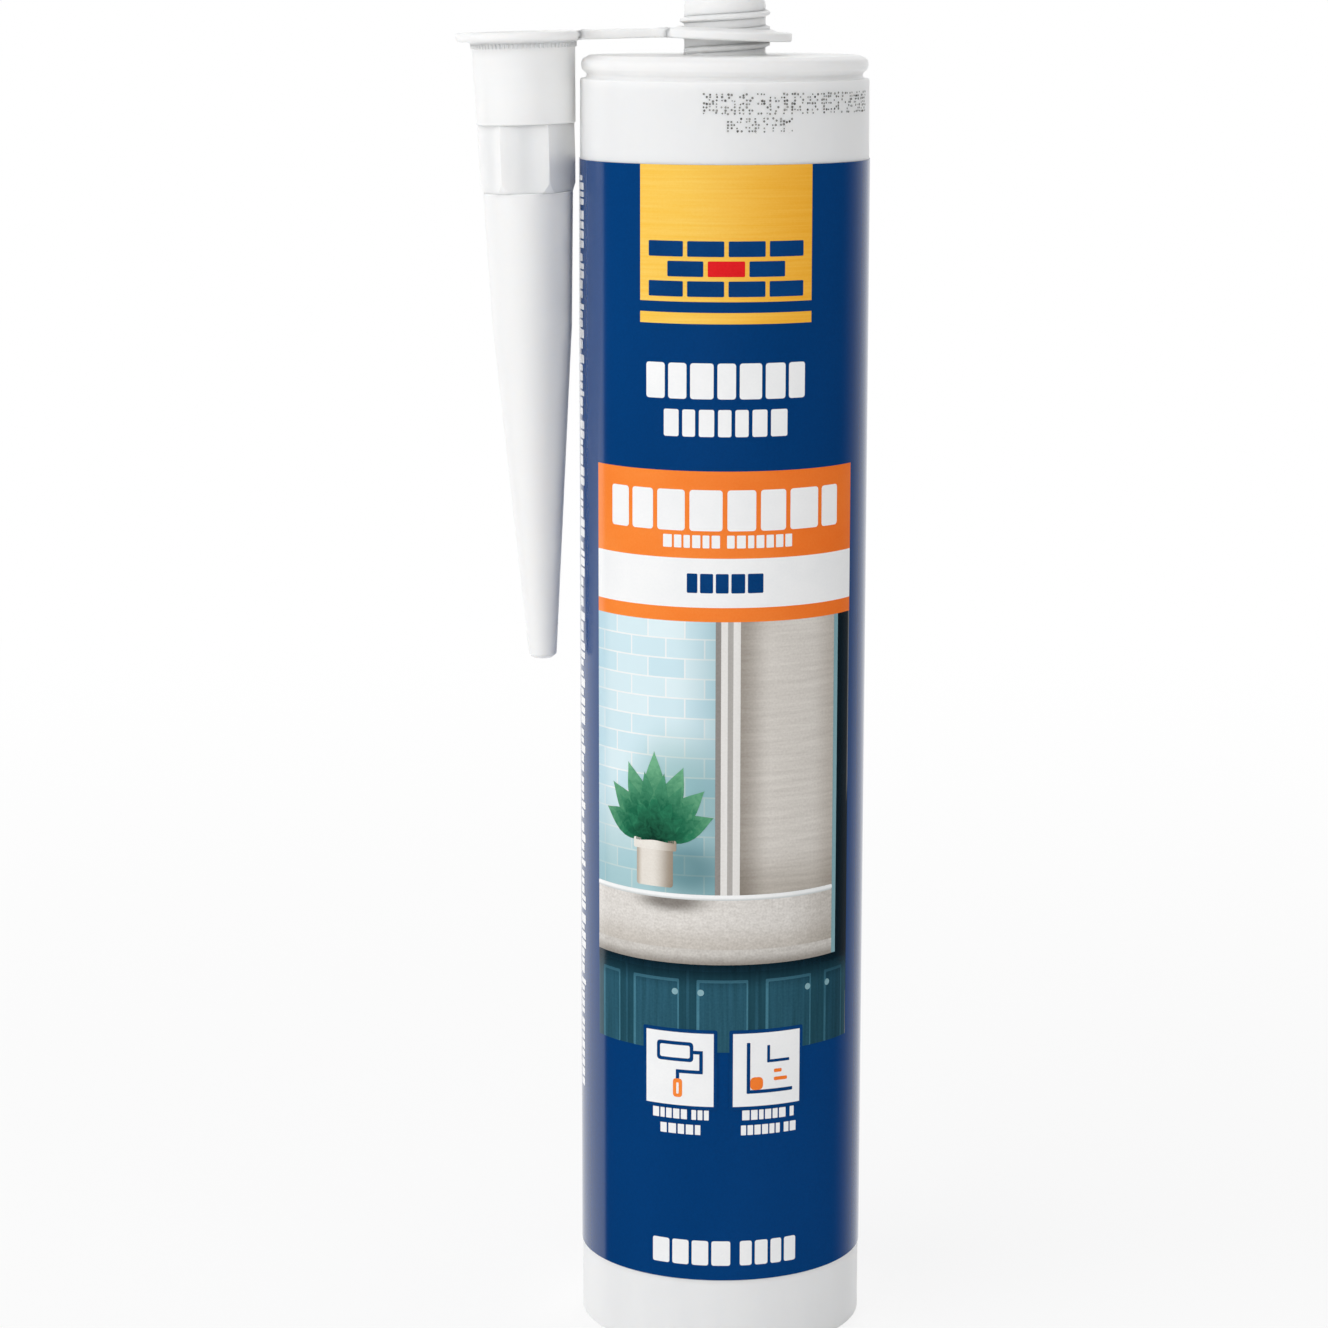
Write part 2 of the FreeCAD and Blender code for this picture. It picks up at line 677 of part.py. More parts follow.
# The nozzle, its strap and the ring round the neck are one moulding.
def makeNozzle():
    body = newBody("nozzle")
    shell = newSketch(body, "nozzle_outline")
    underFlange = "(-flange_thickness)"
    drawOutline(shell, [
        ("0", "0"),
        ("flange_radius - flange_round", "0", ("flange_round", 1)),
        ("flange_radius", "-flange_round"),
        ("flange_radius", f"{underFlange} + flange_round", ("flange_round", 1)),
        ("flange_radius - flange_round", underFlange),
        ("socket_radius + flange_fillet", underFlange, ("flange_fillet", -1)),
        ("socket_radius", f"{underFlange} - flange_fillet"),
        (socketFoot, hexTop),
        ("hex_corner", hexTop),
        (hexEnd, f"{hexFoot} + hex_bevel"),
        ("shank_radius", hexFoot),
        (shankEnd, shankFoot),
        ("spout_radius", f"{tipFoot} + tip_bevel"),
        ("tip_radius", tipFoot),
        ("0", tipFoot),
    ])
    spin(body, "Revolution", "nozzle_shell", shell)

    flats = newSketch(body, "hex_outline", "XY_Plane")
    offsetSketch(flats, out=hexTop, turn="hex_turn")
    drawOutline(flats, rectangle("hex_corner * cos(30) - hex_draft / 2", "2 * hex_corner",
                                 "-hex_corner", "hex_corner"))
    flat = body.newObject("PartDesign::Pocket", "hex_flat")
    flat.Profile = flats
    bind(flat, "Length", "hex_length")
    grip = body.newObject("PartDesign::PolarPattern", "hex_grip")
    grip.Originals = [flat]
    grip.Axis = (originPart(body, "Z_Axis"), [""])
    grip.Angle = 360
    grip.Occurrences = 6
    body.Tip = grip

    strapEdge = "(strap_width / 2 + strap_flare)"
    flangeEdge = f"(sqrt(flange_radius^2 - {strapEdge}^2) - strap_lap)"
    ringEdge = f"({ringAcross} - sqrt(ring_radius^2 - {strapEdge}^2) + strap_lap)"
    strap = newSketch(body, "strap_outline", "XY_Plane")
    drawOutline(strap, [
        ("strap_flare / 2", f"-{strapEdge}"),
        (f"{flangeEdge}", f"-{strapEdge}", ("strap_flare", 1)),
        (f"{flangeEdge} + strap_flare", "-strap_width / 2"),
        (f"{ringEdge} - strap_flare", "-strap_width / 2", ("strap_flare", 1)),
        (f"{ringEdge}", f"-{strapEdge}"),
        (f"{ringEdge}", strapEdge, ("strap_flare", 1)),
        (f"{ringEdge} - strap_flare", "strap_width / 2"),
        (f"{flangeEdge} + strap_flare", "strap_width / 2", ("strap_flare", 1)),
        (f"{flangeEdge}", strapEdge),
        ("strap_flare / 2", strapEdge),
    ])
    bridge = body.newObject("PartDesign::Pad", "strap")
    bridge.Profile = strap
    bridge.Reversed = True
    bind(bridge, "Length", "flange_thickness")

    ring = newSketch(body, "ring_outline")
    offsetSketch(ring, across=ringAcross, up=ringUp, turn="ring_tilt + nozzle_tilt",
                 about=(0, 0, -1))
    underRing = "(-ring_thickness)"
    drawOutline(ring, [
        ("0", underRing),
        ("ring_radius - ring_round", underRing, ("ring_round", -1)),
        ("ring_radius", f"{underRing} + ring_round"),
        ("ring_radius", "-ring_round", ("ring_round", -1)),
        ("ring_radius - ring_round", "0"),
        (f"{ringBore} + collar_width", "0"),
        (ringBore, "collar_rise"),
        ("0", "collar_rise"),
    ])
    spin(body, "Revolution", "neck_ring", ring)

    hole = newSketch(body, "ring_bore_outline")
    offsetSketch(hole, across=ringAcross, up=ringUp, turn="ring_tilt + nozzle_tilt",
                 about=(0, 0, -1))
    drawOutline(hole, rectangle("0", ringBore, "-3 * ring_thickness", "3 * ring_thickness"))
    spin(body, "Groove", "ring_bore", hole)

    channel = newSketch(body, "channel_outline")
    drawOutline(channel, [
        ("0", "ring_thickness"),
        (socketBore, "ring_thickness"),
        (socketBore, "-socket_depth"),
        ("channel_radius", "-socket_depth - seat_length"),
        ("channel_radius", hexFoot),
        (f"{shankEnd} - channel_wall", shankFoot),
        ("orifice_radius", f"{tipFoot} + 2 * tip_bevel"),
        ("orifice_radius", f"{tipFoot} - tip_bevel"),
        ("0", f"{tipFoot} - tip_bevel"),
    ])
    spin(body, "Groove", "nozzle_channel", channel)

    place = FreeCAD.Rotation(FreeCAD.Vector(0, -1, 0), value("nozzle_tilt"))
    body.Placement = FreeCAD.Placement(FreeCAD.Vector(0, 0, 0), place)
    bind(body, ".Placement.Base.x", f"-{nozzleReach}")
    bind(body, ".Placement.Base.z", "barrel_length + flange_lift")
    bind(body, ".Placement.Rotation.Angle", "nozzle_tilt")
    return body


parts = [
    makeBarrel(),
    makePiston(),
    makeSealant(),
    makeLabel(),
    makeGold(),
    makeOrange(),
    makeRed(),
    makeWhite(),
    makeNavy(),
    makePictureWall(),
    makePicturePlaster(),
    makePictureWorktop(),
    makePictureCabinet(),
    makePicturePlant(),
    makePicturePot(),
    makeNozzle(),
]
doc.recompute()

for item in doc.Objects:
    if "Invalid" in item.State or "Error" in item.State:
        raise RuntimeError(f"{item.Name} failed: {item.State}")
for part in parts:
    if part.Shape.isNull() or not part.Shape.isValid():
        raise RuntimeError(f"{part.Label} has no valid shape")

os.makedirs("parts", exist_ok=True)
for part in parts:
    part.Shape.exportStep(f"parts/{part.Label}.step")
    print(part.Label, len(part.Shape.Solids), "solid(s)", round(part.Shape.Volume, 1), "mm3")
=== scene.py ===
import math
import random

import bmesh
import bpy
from mathutils import Matrix, Vector


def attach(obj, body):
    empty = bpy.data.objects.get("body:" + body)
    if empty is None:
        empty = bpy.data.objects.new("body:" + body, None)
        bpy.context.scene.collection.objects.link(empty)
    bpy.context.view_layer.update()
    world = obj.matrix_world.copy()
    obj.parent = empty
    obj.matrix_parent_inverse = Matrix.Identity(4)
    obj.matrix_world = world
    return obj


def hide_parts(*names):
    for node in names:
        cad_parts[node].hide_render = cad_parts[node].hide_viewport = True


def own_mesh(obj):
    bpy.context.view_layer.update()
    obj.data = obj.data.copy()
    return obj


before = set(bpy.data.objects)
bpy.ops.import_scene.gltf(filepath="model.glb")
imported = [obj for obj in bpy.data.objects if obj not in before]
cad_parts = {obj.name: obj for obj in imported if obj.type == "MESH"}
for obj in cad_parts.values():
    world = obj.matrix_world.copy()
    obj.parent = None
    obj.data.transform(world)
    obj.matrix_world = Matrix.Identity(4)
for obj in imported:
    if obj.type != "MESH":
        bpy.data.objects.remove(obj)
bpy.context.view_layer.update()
scene = bpy.context.scene
scene.view_settings.view_transform = "Standard"

millimetre = 0.001
weldReach = 1e-6                           # m, points nearer than this become one
cutReach = 1e-7                            # m, points nearer to a cut than this lie on it


# The photograph's own view: a long lens, a little above the cartridge's shoulder.
cameraSizes = {
    "lens": 100.04,                        # mm
    "sensor": 36.0,                        # mm
    "near": 0.05,                          # m
    "far": 20.0,                           # m
    "place": (-9.93, -616.08, 227.75),     # mm
    "down": 10.49,                         # degrees
    "roll": 0.05,
}


def addCamera(sizes):
    data = bpy.data.cameras.new("camera")
    data.lens = sizes["lens"]
    data.sensor_width = sizes["sensor"]
    data.clip_start = sizes["near"]
    data.clip_end = sizes["far"]
    camera = bpy.data.objects.new("camera", data)
    scene.collection.objects.link(camera)
    turn = Matrix.Rotation(math.radians(90 - sizes["down"]), 4, "X")
    roll = Matrix.Rotation(math.radians(sizes["roll"]), 4, "Z")
    camera.matrix_world = Matrix.Translation(Vector(sizes["place"]) * millimetre) @ turn @ roll
    scene.camera = camera


addCamera(cameraSizes)
print("camera placed")


def linear(hexColour):
    channels = [int(hexColour[i:i + 2], 16) / 255 for i in (1, 3, 5)]
    return (*[c / 12.92 if c <= 0.04045 else ((c + 0.055) / 1.055) ** 2.4 for c in channels], 1.0)


# Adds a node. settings are the node's own properties, with a colour ramp's stops, and inputs are
# values or links by socket.
def addNode(tree, kind, settings=None, inputs=None):
    node = tree.nodes.new(kind)
    for name, value in (settings or {}).items():
        if name == "stops":
            while len(node.color_ramp.elements) < len(value):
                node.color_ramp.elements.new(0.5)
            for element, (position, colour) in zip(node.color_ramp.elements, value):
                element.position = position
                element.color = linear(colour)
        else:
            setattr(node, name, value)
    for name, value in (inputs or {}).items():
        if isinstance(value, bpy.types.NodeSocket):
            tree.links.new(value, node.inputs[name])
        else:
            node.inputs[name].default_value = linear(value) if isinstance(value, str) else value
    return node


def newMaterial(name):
    material = bpy.data.materials.new(name)
    material.use_nodes = True
    material.node_tree.nodes.clear()
    return material, material.node_tree


def finishMaterial(tree, surface):
    shader = addNode(tree, "ShaderNodeBsdfPrincipled", inputs=surface)
    addNode(tree, "ShaderNodeOutputMaterial", inputs={"Surface": shader.outputs[0]})


# Studio: a soft key from the left, a faint fill from the right, a weak lamp low in front and one
# high behind, over a pale table and with a white backdrop all round. What gloss reflects is white
# behind the object and dim before it. Places and sizes are in mm.
studioSizes = {
    "key": {"place": (-900, -700, 800), "size": 1500, "power": 8.0},
    "fill": {"place": (950, -600, 500), "size": 700, "power": 0.5},
    "front": {"place": (-100, -1200, 120), "size": 900, "power": 1.4},
    "back": {"place": (200, 1000, 900), "size": 700, "power": 4.0},
    "ambient": 0.58,
    "floorRadius": 4000,
    "floorSides": 96,
    "fadeStart": 150,                      # mm from the object, where the table starts to fade
    "fadeEnd": 700,
    "fadeLeast": 0.78,                     # share of plain white near the object
    "glossLeft": (110, 114),               # degrees from the camera's side, dim to white
    "glossRight": (104, 165),
    "glossLeast": 0.02,
}


def addLamp(name, sizes, target):
    data = bpy.data.lights.new(name, "AREA")
    data.shape = "DISK"
    data.size = sizes["size"] * millimetre
    data.energy = sizes["power"]
    lamp = bpy.data.objects.new(name, data)
    scene.collection.objects.link(lamp)
    lamp.location = Vector(sizes["place"]) * millimetre
    lamp.rotation_mode = "QUATERNION"
    lamp.rotation_quaternion = (target - lamp.location).to_track_quat("-Z", "Y")
    lamp.visible_glossy = False


def addWorld(sizes):
    world = bpy.data.worlds.new("studio")
    scene.world = world
    world.use_nodes = True
    tree = world.node_tree
    tree.nodes.clear()
    direction = addNode(tree, "ShaderNodeTexCoord").outputs["Generated"]
    axes = addNode(tree, "ShaderNodeSeparateXYZ", inputs={0: direction})
    # The turn from the camera's side in radians, 0 towards -Y and pi towards +Y.
    forward = addNode(tree, "ShaderNodeMath", {"operation": "MULTIPLY"},
                      {0: axes.outputs["Y"], 1: -1.0}).outputs[0]
    angle = addNode(tree, "ShaderNodeMath", {"operation": "ARCTAN2"},
                    {0: axes.outputs["X"], 1: forward}).outputs[0]
    left, right = (
        addNode(tree, "ShaderNodeMapRange", {"interpolation_type": "SMOOTHSTEP"},
                {"Value": angle, "From Min": side * math.radians(limits[0]),
                 "From Max": side * math.radians(limits[1]),
                 "To Min": sizes["glossLeast"], "To Max": 1.0}).outputs[0]
        for side, limits in ((-1, sizes["glossLeft"]), (1, sizes["glossRight"])))
    white = addNode(tree, "ShaderNodeMath", {"operation": "MAXIMUM"}, {0: left, 1: right})
    path = addNode(tree, "ShaderNodeLightPath")
    seen = addNode(tree, "ShaderNodeMath", {"operation": "MAXIMUM"},
                   {0: path.outputs["Is Camera Ray"], 1: path.outputs["Is Transmission Ray"]})
    glossy = addNode(tree, "ShaderNodeMix", {"data_type": "FLOAT"},
                     {0: path.outputs["Is Glossy Ray"], 2: sizes["ambient"],
                      3: white.outputs[0]}).outputs[0]
    strength = addNode(tree, "ShaderNodeMix", {"data_type": "FLOAT"},
                       {0: seen.outputs[0], 2: glossy, 3: 1.0}).outputs[0]
    background = addNode(tree, "ShaderNodeBackground",
                         inputs={"Color": (1, 1, 1, 1), "Strength": strength})
    addNode(tree, "ShaderNodeOutputWorld", inputs={"Surface": background.outputs[0]})


def addFloor(sizes):
    bm = bmesh.new()
    bmesh.ops.create_circle(bm, cap_ends=True, segments=sizes["floorSides"],
                            radius=sizes["floorRadius"] * millimetre)
    mesh = bpy.data.meshes.new("floor")
    bm.to_mesh(mesh)
    bm.free()
    floor = bpy.data.objects.new("floor", mesh)
    scene.collection.objects.link(floor)
    floor.visible_glossy = False
    # Matt white paper. To the camera its own light takes over further out, so that the table
    # keeps the object's shadow and still meets the backdrop unseen.
    material, tree = newMaterial("mattPaperTable")
    place = addNode(tree, "ShaderNodeTexCoord").outputs["Object"]
    away = addNode(tree, "ShaderNodeVectorMath", {"operation": "LENGTH"}, {0: place})
    shade = addNode(tree, "ShaderNodeBsdfDiffuse", inputs={"Color": "#F4F4F4"})
    glow = addNode(tree, "ShaderNodeEmission", inputs={"Color": "#FFFFFF", "Strength": 1.0})
    fade = addNode(tree, "ShaderNodeMapRange", {"interpolation_type": "SMOOTHSTEP"},
                   {"Value": away.outputs["Value"],
                    "From Min": sizes["fadeStart"] * millimetre,
                    "From Max": sizes["fadeEnd"] * millimetre,
                    "To Min": sizes["fadeLeast"], "To Max": 1.0})
    path = addNode(tree, "ShaderNodeLightPath")
    share = addNode(tree, "ShaderNodeMath", {"operation": "MULTIPLY"},
                    {0: path.outputs["Is Camera Ray"], 1: fade.outputs[0]})
    blend = addNode(tree, "ShaderNodeMixShader",
                    inputs={0: share.outputs[0], 1: shade.outputs[0], 2: glow.outputs[0]})
    addNode(tree, "ShaderNodeOutputMaterial", inputs={"Surface": blend.outputs[0]})
    mesh.materials.append(material)


# Every lamp points at the middle of the tube, in m.
aim = Vector((0, 0, 0.12))
addWorld(studioSizes)
addFloor(studioSizes)
for lampName in ("key", "fill", "front", "back"):
    addLamp(lampName, studioSizes[lampName], aim)
print("studio lit")


# Turns (radius, height, rounding) points in mm round the Z axis. loop joins the last to the first.
def lathe(points, steps, loop=True, place=Matrix()):
    bm = bmesh.new()
    verts = [bm.verts.new((point[0] * millimetre, 0, point[1] * millimetre)) for point in points]
    for pair in zip(verts, verts[1:]):
        bm.edges.new(pair)
    if loop:
        bm.edges.new((verts[-1], verts[0]))
    for index, point in enumerate(points):
        if len(point) < 3:
            continue
        here, before, after = (Vector(points[i][:2]) for i in
                               (index, index - 1, (index + 1) % len(points)))
        turn = (here - before).angle(after - here)
        bmesh.ops.bevel(bm, geom=[verts[index]], offset=point[2] * math.tan(turn / 2) * millimetre,
                        segments=max(3, round(turn * 4)), profile=0.5, affect="VERTICES",
                        material=-1)
    bmesh.ops.spin(bm, geom=bm.verts[:] + bm.edges[:], cent=(0, 0, 0), axis=(0, 0, 1),
                   angle=math.tau, steps=steps, use_merge=True)
    bmesh.ops.remove_doubles(bm, verts=bm.verts[:], dist=weldReach)
    bmesh.ops.recalc_face_normals(bm, faces=bm.faces[:])
    bmesh.ops.transform(bm, matrix=place, verts=bm.verts[:])
    return bm


# A screw ridge: a section is spun upwards, and its crest fades into the root at both ends. side
# is 1 where it starts towards +X and -1 towards -X. steps are for one turn, fade is in turns and
# least is the share of the ridge that is left at its ends.
def screwRidge(sizes, place=Matrix()):
    bm = bmesh.new()
    side = sizes["side"]
    verts = [bm.verts.new((side * radius * millimetre, 0, (sizes["foot"] + rise) * millimetre))
             for radius, rise in ((sizes["root"], -sizes["base"] / 2),
                                  (sizes["crest"], -sizes["land"] / 2),
                                  (sizes["crest"], sizes["land"] / 2),
                                  (sizes["root"], sizes["base"] / 2))]
    for first, second in zip(verts, verts[1:] + verts[:1]):
        bm.edges.new((first, second))
    turns = sizes["rise"] / sizes["pitch"]
    steps = round(turns * sizes["steps"])
    bmesh.ops.spin(bm, geom=bm.verts[:] + bm.edges[:], cent=(0, 0, 0), axis=(0, 0, 1),
                   dvec=(0, 0, sizes["rise"] / steps * millimetre), angle=turns * math.tau,
                   steps=steps)
    bmesh.ops.remove_doubles(bm, verts=bm.verts[:], dist=weldReach)
    bmesh.ops.holes_fill(bm, edges=[edge for edge in bm.edges if edge.is_boundary], sides=4)
    root = sizes["root"] * millimetre
    for vert in bm.verts:
        phase = math.atan2(vert.co.y * side, vert.co.x * side) / math.tau % 1.0
        climbed = (vert.co.z / millimetre - sizes["foot"]) / sizes["pitch"]
        travel = phase + round(climbed - phase)
        fade = max(0.0, min(1.0, travel / sizes["fade"], (turns - travel) / sizes["fade"]))
        radius = Vector(vert.co.xy).length
        share = sizes["least"] + (1 - sizes["least"]) * fade
        scale = (root + (radius - root) * share) / radius
        vert.co.x *= scale
        vert.co.y *= scale
    bmesh.ops.recalc_face_normals(bm, faces=bm.faces[:])
    bmesh.ops.transform(bm, matrix=place, verts=bm.verts[:])
    return bm


sharpAngle = 35                            # degrees between faces, from which an edge is sharp


# Joins meshes into one finished piece that rides on a body and takes a slot's finish.
def finishPiece(name, parts, materials, body, replaced=(), weighted=False):
    mesh = bpy.data.meshes.new(name)
    whole = bmesh.new()
    for part in parts:
        part.to_mesh(mesh)
        whole.from_mesh(mesh)
        part.free()
    whole.to_mesh(mesh)
    whole.free()
    for material in materials:
        mesh.materials.append(material)
    mesh.shade_smooth()
    mesh.set_sharp_from_angle(angle=math.radians(sharpAngle))
    piece = bpy.data.objects.new(name, mesh)
    scene.collection.objects.link(piece)
    if weighted:
        piece.modifiers.new("faceWeight", "WEIGHTED_NORMAL").keep_sharp = True
    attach(piece, body)
    if replaced:
        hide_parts(*replaced)
    return piece


# High-density polyethylene, injection moulded. It is white and waxy, with a soft gloss, a very
# fine grain from the mould and faint flow clouds. streak draws the clouds out along Z, and depth
# is how far light scatters under the surface, in mm.
def mouldedPolyethylene(name, pale, deep, roughness, streak, depth):
    material, tree = newMaterial(name)
    place = addNode(tree, "ShaderNodeTexCoord").outputs["Object"]
    flow = addNode(tree, "ShaderNodeMapping", inputs={"Vector": place, "Scale": (1, 1, streak)})
    cloud = addNode(tree, "ShaderNodeTexNoise", inputs={
        "Vector": flow.outputs[0], "Scale": 90.0, "Detail": 3.0, "Roughness": 0.5})
    colour = addNode(tree, "ShaderNodeValToRGB", {"stops": [(0.3, deep), (0.7, pale)]},
                     {"Fac": cloud.outputs[0]})
    grain = addNode(tree, "ShaderNodeTexNoise", inputs={
        "Vector": place, "Scale": 1800.0, "Detail": 2.0})
    gloss = addNode(tree, "ShaderNodeMapRange", inputs={
        "Value": cloud.outputs[0], "From Min": 0.3, "From Max": 0.7,
        "To Min": roughness - 0.04, "To Max": roughness + 0.05})
    bump = addNode(tree, "ShaderNodeBump", inputs={
        "Height": grain.outputs[0], "Strength": 0.25, "Distance": 0.00002})
    finishMaterial(tree, {
        "Base Color": colour.outputs[0], "Roughness": gloss.outputs[0], "IOR": 1.54,
        "Subsurface Weight": 0.7, "Subsurface Radius": (1.0, 0.95, 0.9),
        "Subsurface Scale": depth * millimetre, "Normal": bump.outputs[0]})
    return material


# The barrel. Heights are from the rear rim, and a third value rounds that corner.
barrelSteps = 240
barrelOutline = [
    (23.1, 0.0, 0.15), (23.95, 0.0, 0.3), (23.95, 196.3), (23.85, 212.0, 0.3), (23.0, 212.0, 0.3),
    (22.66, 212.65, 0.4), (23.55, 213.5, 0.5), (23.7, 214.35, 0.9), (23.55, 215.1, 0.9),
    (22.3, 215.75, 0.7), (6.7, 215.75, 0.6), (6.7, 225.95, 2.3), (0.0, 225.95), (0.0, 224.75),
    (4.3, 224.75), (5.2, 223.55, 0.3), (5.2, 213.65, 0.3), (23.1, 211.05, 0.8),
]
neckThread = {
    "side": -1, "root": 6.5, "crest": 7.44, "base": 1.3, "land": 0.45,
    "foot": 216.35, "rise": 6.6, "pitch": 2.5, "fade": 0.09, "steps": 72, "least": 0.15,
}

barrelPlastic = mouldedPolyethylene("mouldedBarrelPolyethylene", pale="#FAFAF9", deep="#F4F4F4",
                                    roughness=0.36, streak=0.25, depth=1.2)
finishPiece("barrel_tube", [lathe(barrelOutline, barrelSteps), screwRidge(neckThread)],
            [barrelPlastic], "barrel", ["cartridge_barrel"], weighted=True)
print("barrel turned")


# Ink-jet marks on the bare tube: cells of loose dots in two rows. Nothing in them can be read.
jetSizes = {
    "rows": ((-3.7, 31.0, 207.0), (0.2, 9.9, 203.2)),      # arc from, arc to, foot, in mm
    "dot": 0.19,                                           # radius
    "dotRange": (0.6, 1.1),                                # least and greatest share of it
    "dotSides": 8,
    "depth": 0.03,
    "pitch": 0.5,
    "columns": 5,
    "lines": 7,
    "cellGap": 0.9,
    "cells": 0.97,                                         # share of the cells that are sprayed
    "share": 0.56,                                         # share of the dots in such a cell
    "scatter": 0.05,
    "radius": 23.9,
    "seed": 4,
}


def inkJetMarks(sizes):
    dice = random.Random(sizes["seed"])
    bm = bmesh.new()
    pitch = sizes["pitch"]
    for start, end, foot in sizes["rows"]:
        at = start
        while at < end:
            if dice.random() < sizes["cells"]:
                for column in range(sizes["columns"]):
                    for line in range(sizes["lines"]):
                        if dice.random() < sizes["share"]:
                            spot = (at + column * pitch + dice.gauss(0, sizes["scatter"]),
                                    foot + line * pitch + dice.gauss(0, sizes["scatter"]), 0)
                            size = sizes["dot"] * dice.uniform(*sizes["dotRange"])
                            bmesh.ops.create_circle(bm, cap_ends=True, radius=size,
                                                    segments=sizes["dotSides"],
                                                    matrix=Matrix.Translation(spot))
            at += (sizes["columns"] - 1) * pitch + sizes["cellGap"]
    bmesh.ops.solidify(bm, geom=bm.faces[:], thickness=sizes["depth"])
    for vert in bm.verts:
        angle = vert.co.x / sizes["radius"]
        radius = (sizes["radius"] + vert.co.z) * millimetre
        vert.co = Vector((radius * math.sin(angle), -radius * math.cos(angle),
                          vert.co.y * millimetre))
    bmesh.ops.recalc_face_normals(bm, faces=bm.faces[:])
    return bm


# Solvent ink, sprayed in drops. It dries thin, matt and grey, denser in some drops.
def sprayedInk():
    material, tree = newMaterial("sprayedSolventInk")
    place = addNode(tree, "ShaderNodeTexCoord").outputs["Object"]
    drops = addNode(tree, "ShaderNodeTexNoise", inputs={
        "Vector": place, "Scale": 900.0, "Detail": 2.0})
    colour = addNode(tree, "ShaderNodeValToRGB", {"stops": [(0.35, "#4A4A47"), (0.65, "#A2A29E")]},
                     {"Fac": drops.outputs[0]})
    finishMaterial(tree, {"Base Color": colour.outputs[0], "Roughness": 0.7, "IOR": 1.45})
    return material


finishPiece("ink_jet_dots", [inkJetMarks(jetSizes)], [sprayedInk()], "barrel")
print("ink-jet dots sprayed")


# The nozzle hangs from the strap and leans a little. Heights are down from the flange's top.
nozzleSizes = {
    "place": (-33.216, 0.0, 219.52),
    "tilt": 1.5,                           # degrees
    "steps": 160,
    "hexFlat": 6.93,                       # half way across the flats
    "hexTurn": 29.0,                       # degrees
    "hexEdge": 0.16,
    "hexSteps": 96,
    "hexCorner": 25.0,                     # degrees between faces, from which a corner is bevelled
    "hexInside": 7.4,                      # radius within which none is
    "ringPlace": (33.211, 0.0, -0.639),
    "ringTilt": 3.7,                       # degrees
    "strapWidth": 8.0,
    "strapFlare": 5.0,                     # radius that sweeps into each rim
    "strapDepth": 1.5,
    "strapEdge": 0.35,
    "strapCorner": 1.0,                    # radians between faces, from which an edge is bevelled
    "sweepSteps": 10,
    "flangeRim": 11.1,
    "ringRim": 11.0,
    "ribs": 72,
    "ribPlace": (8.6, 0, -2.0),
    "ribSize": (0.36, 0.3, 1.3),
    "ribEdge": 0.1,
}
nozzleOutline = [
    (7.6, 0.0, 0.25), (11.2, 0.0, 0.5), (11.2, -1.5, 0.7), (8.54, -1.5, 1.0), (8.2, -15.0, 0.15),
    (6.6, -15.0), (6.6, -26.2), (7.46, -26.2, 0.15), (6.62, -48.4, 0.6),
    (2.35, -104.0, 0.3), (1.7, -104.6, 0.15), (1.0, -104.6, 0.1), (1.0, -103.4), (5.52, -48.4),
    (6.0, -26.2), (6.0, -13.0), (7.6, -11.4),
]
# The six-sided grip before its flats are cut: a short cone with a bevelled foot.
hexOutline = [(6.5, -14.95), (8.15, -14.95), (7.9, -24.8), (7.44, -26.25), (6.5, -26.25)]
ringOutline = [
    (7.59, -1.5, 0.2), (11.1, -1.5, 0.45), (11.1, 0.0, 0.45), (8.79, 0.0, 0.2), (7.8, 0.4, 0.15),
    (7.59, 0.4),
]
socketThread = {
    "side": 1, "root": 7.7, "crest": 7.15, "base": 1.1, "land": 0.4,
    "foot": -9.6, "rise": 7.0, "pitch": 2.5, "fade": 0.09, "steps": 72, "least": 0.15,
}


def hexGrip(sizes, place):
    bm = lathe(hexOutline, sizes["hexSteps"])
    for side in range(6):
        angle = math.radians(sizes["hexTurn"] + 60 * side)
        across = Vector((math.cos(angle), math.sin(angle), 0))
        bmesh.ops.bisect_plane(bm, geom=bm.verts[:] + bm.edges[:] + bm.faces[:], dist=cutReach,
                               plane_co=across * sizes["hexFlat"] * millimetre, plane_no=across,
                               clear_outer=True)
        bmesh.ops.holes_fill(bm, edges=[edge for edge in bm.edges if edge.is_boundary], sides=0)
    bmesh.ops.recalc_face_normals(bm, faces=bm.faces[:])
    corners = [edge for edge in bm.edges
               if edge.calc_face_angle(0) > math.radians(sizes["hexCorner"])
               and min(vert.co.xy.length for vert in edge.verts) > sizes["hexInside"] * millimetre]
    bmesh.ops.bevel(bm, geom=corners, offset=sizes["hexEdge"] * millimetre, segments=2,
                    profile=0.5, affect="EDGES", material=-1, clamp_overlap=True)
    bmesh.ops.transform(bm, matrix=place, verts=bm.verts[:])
    return bm


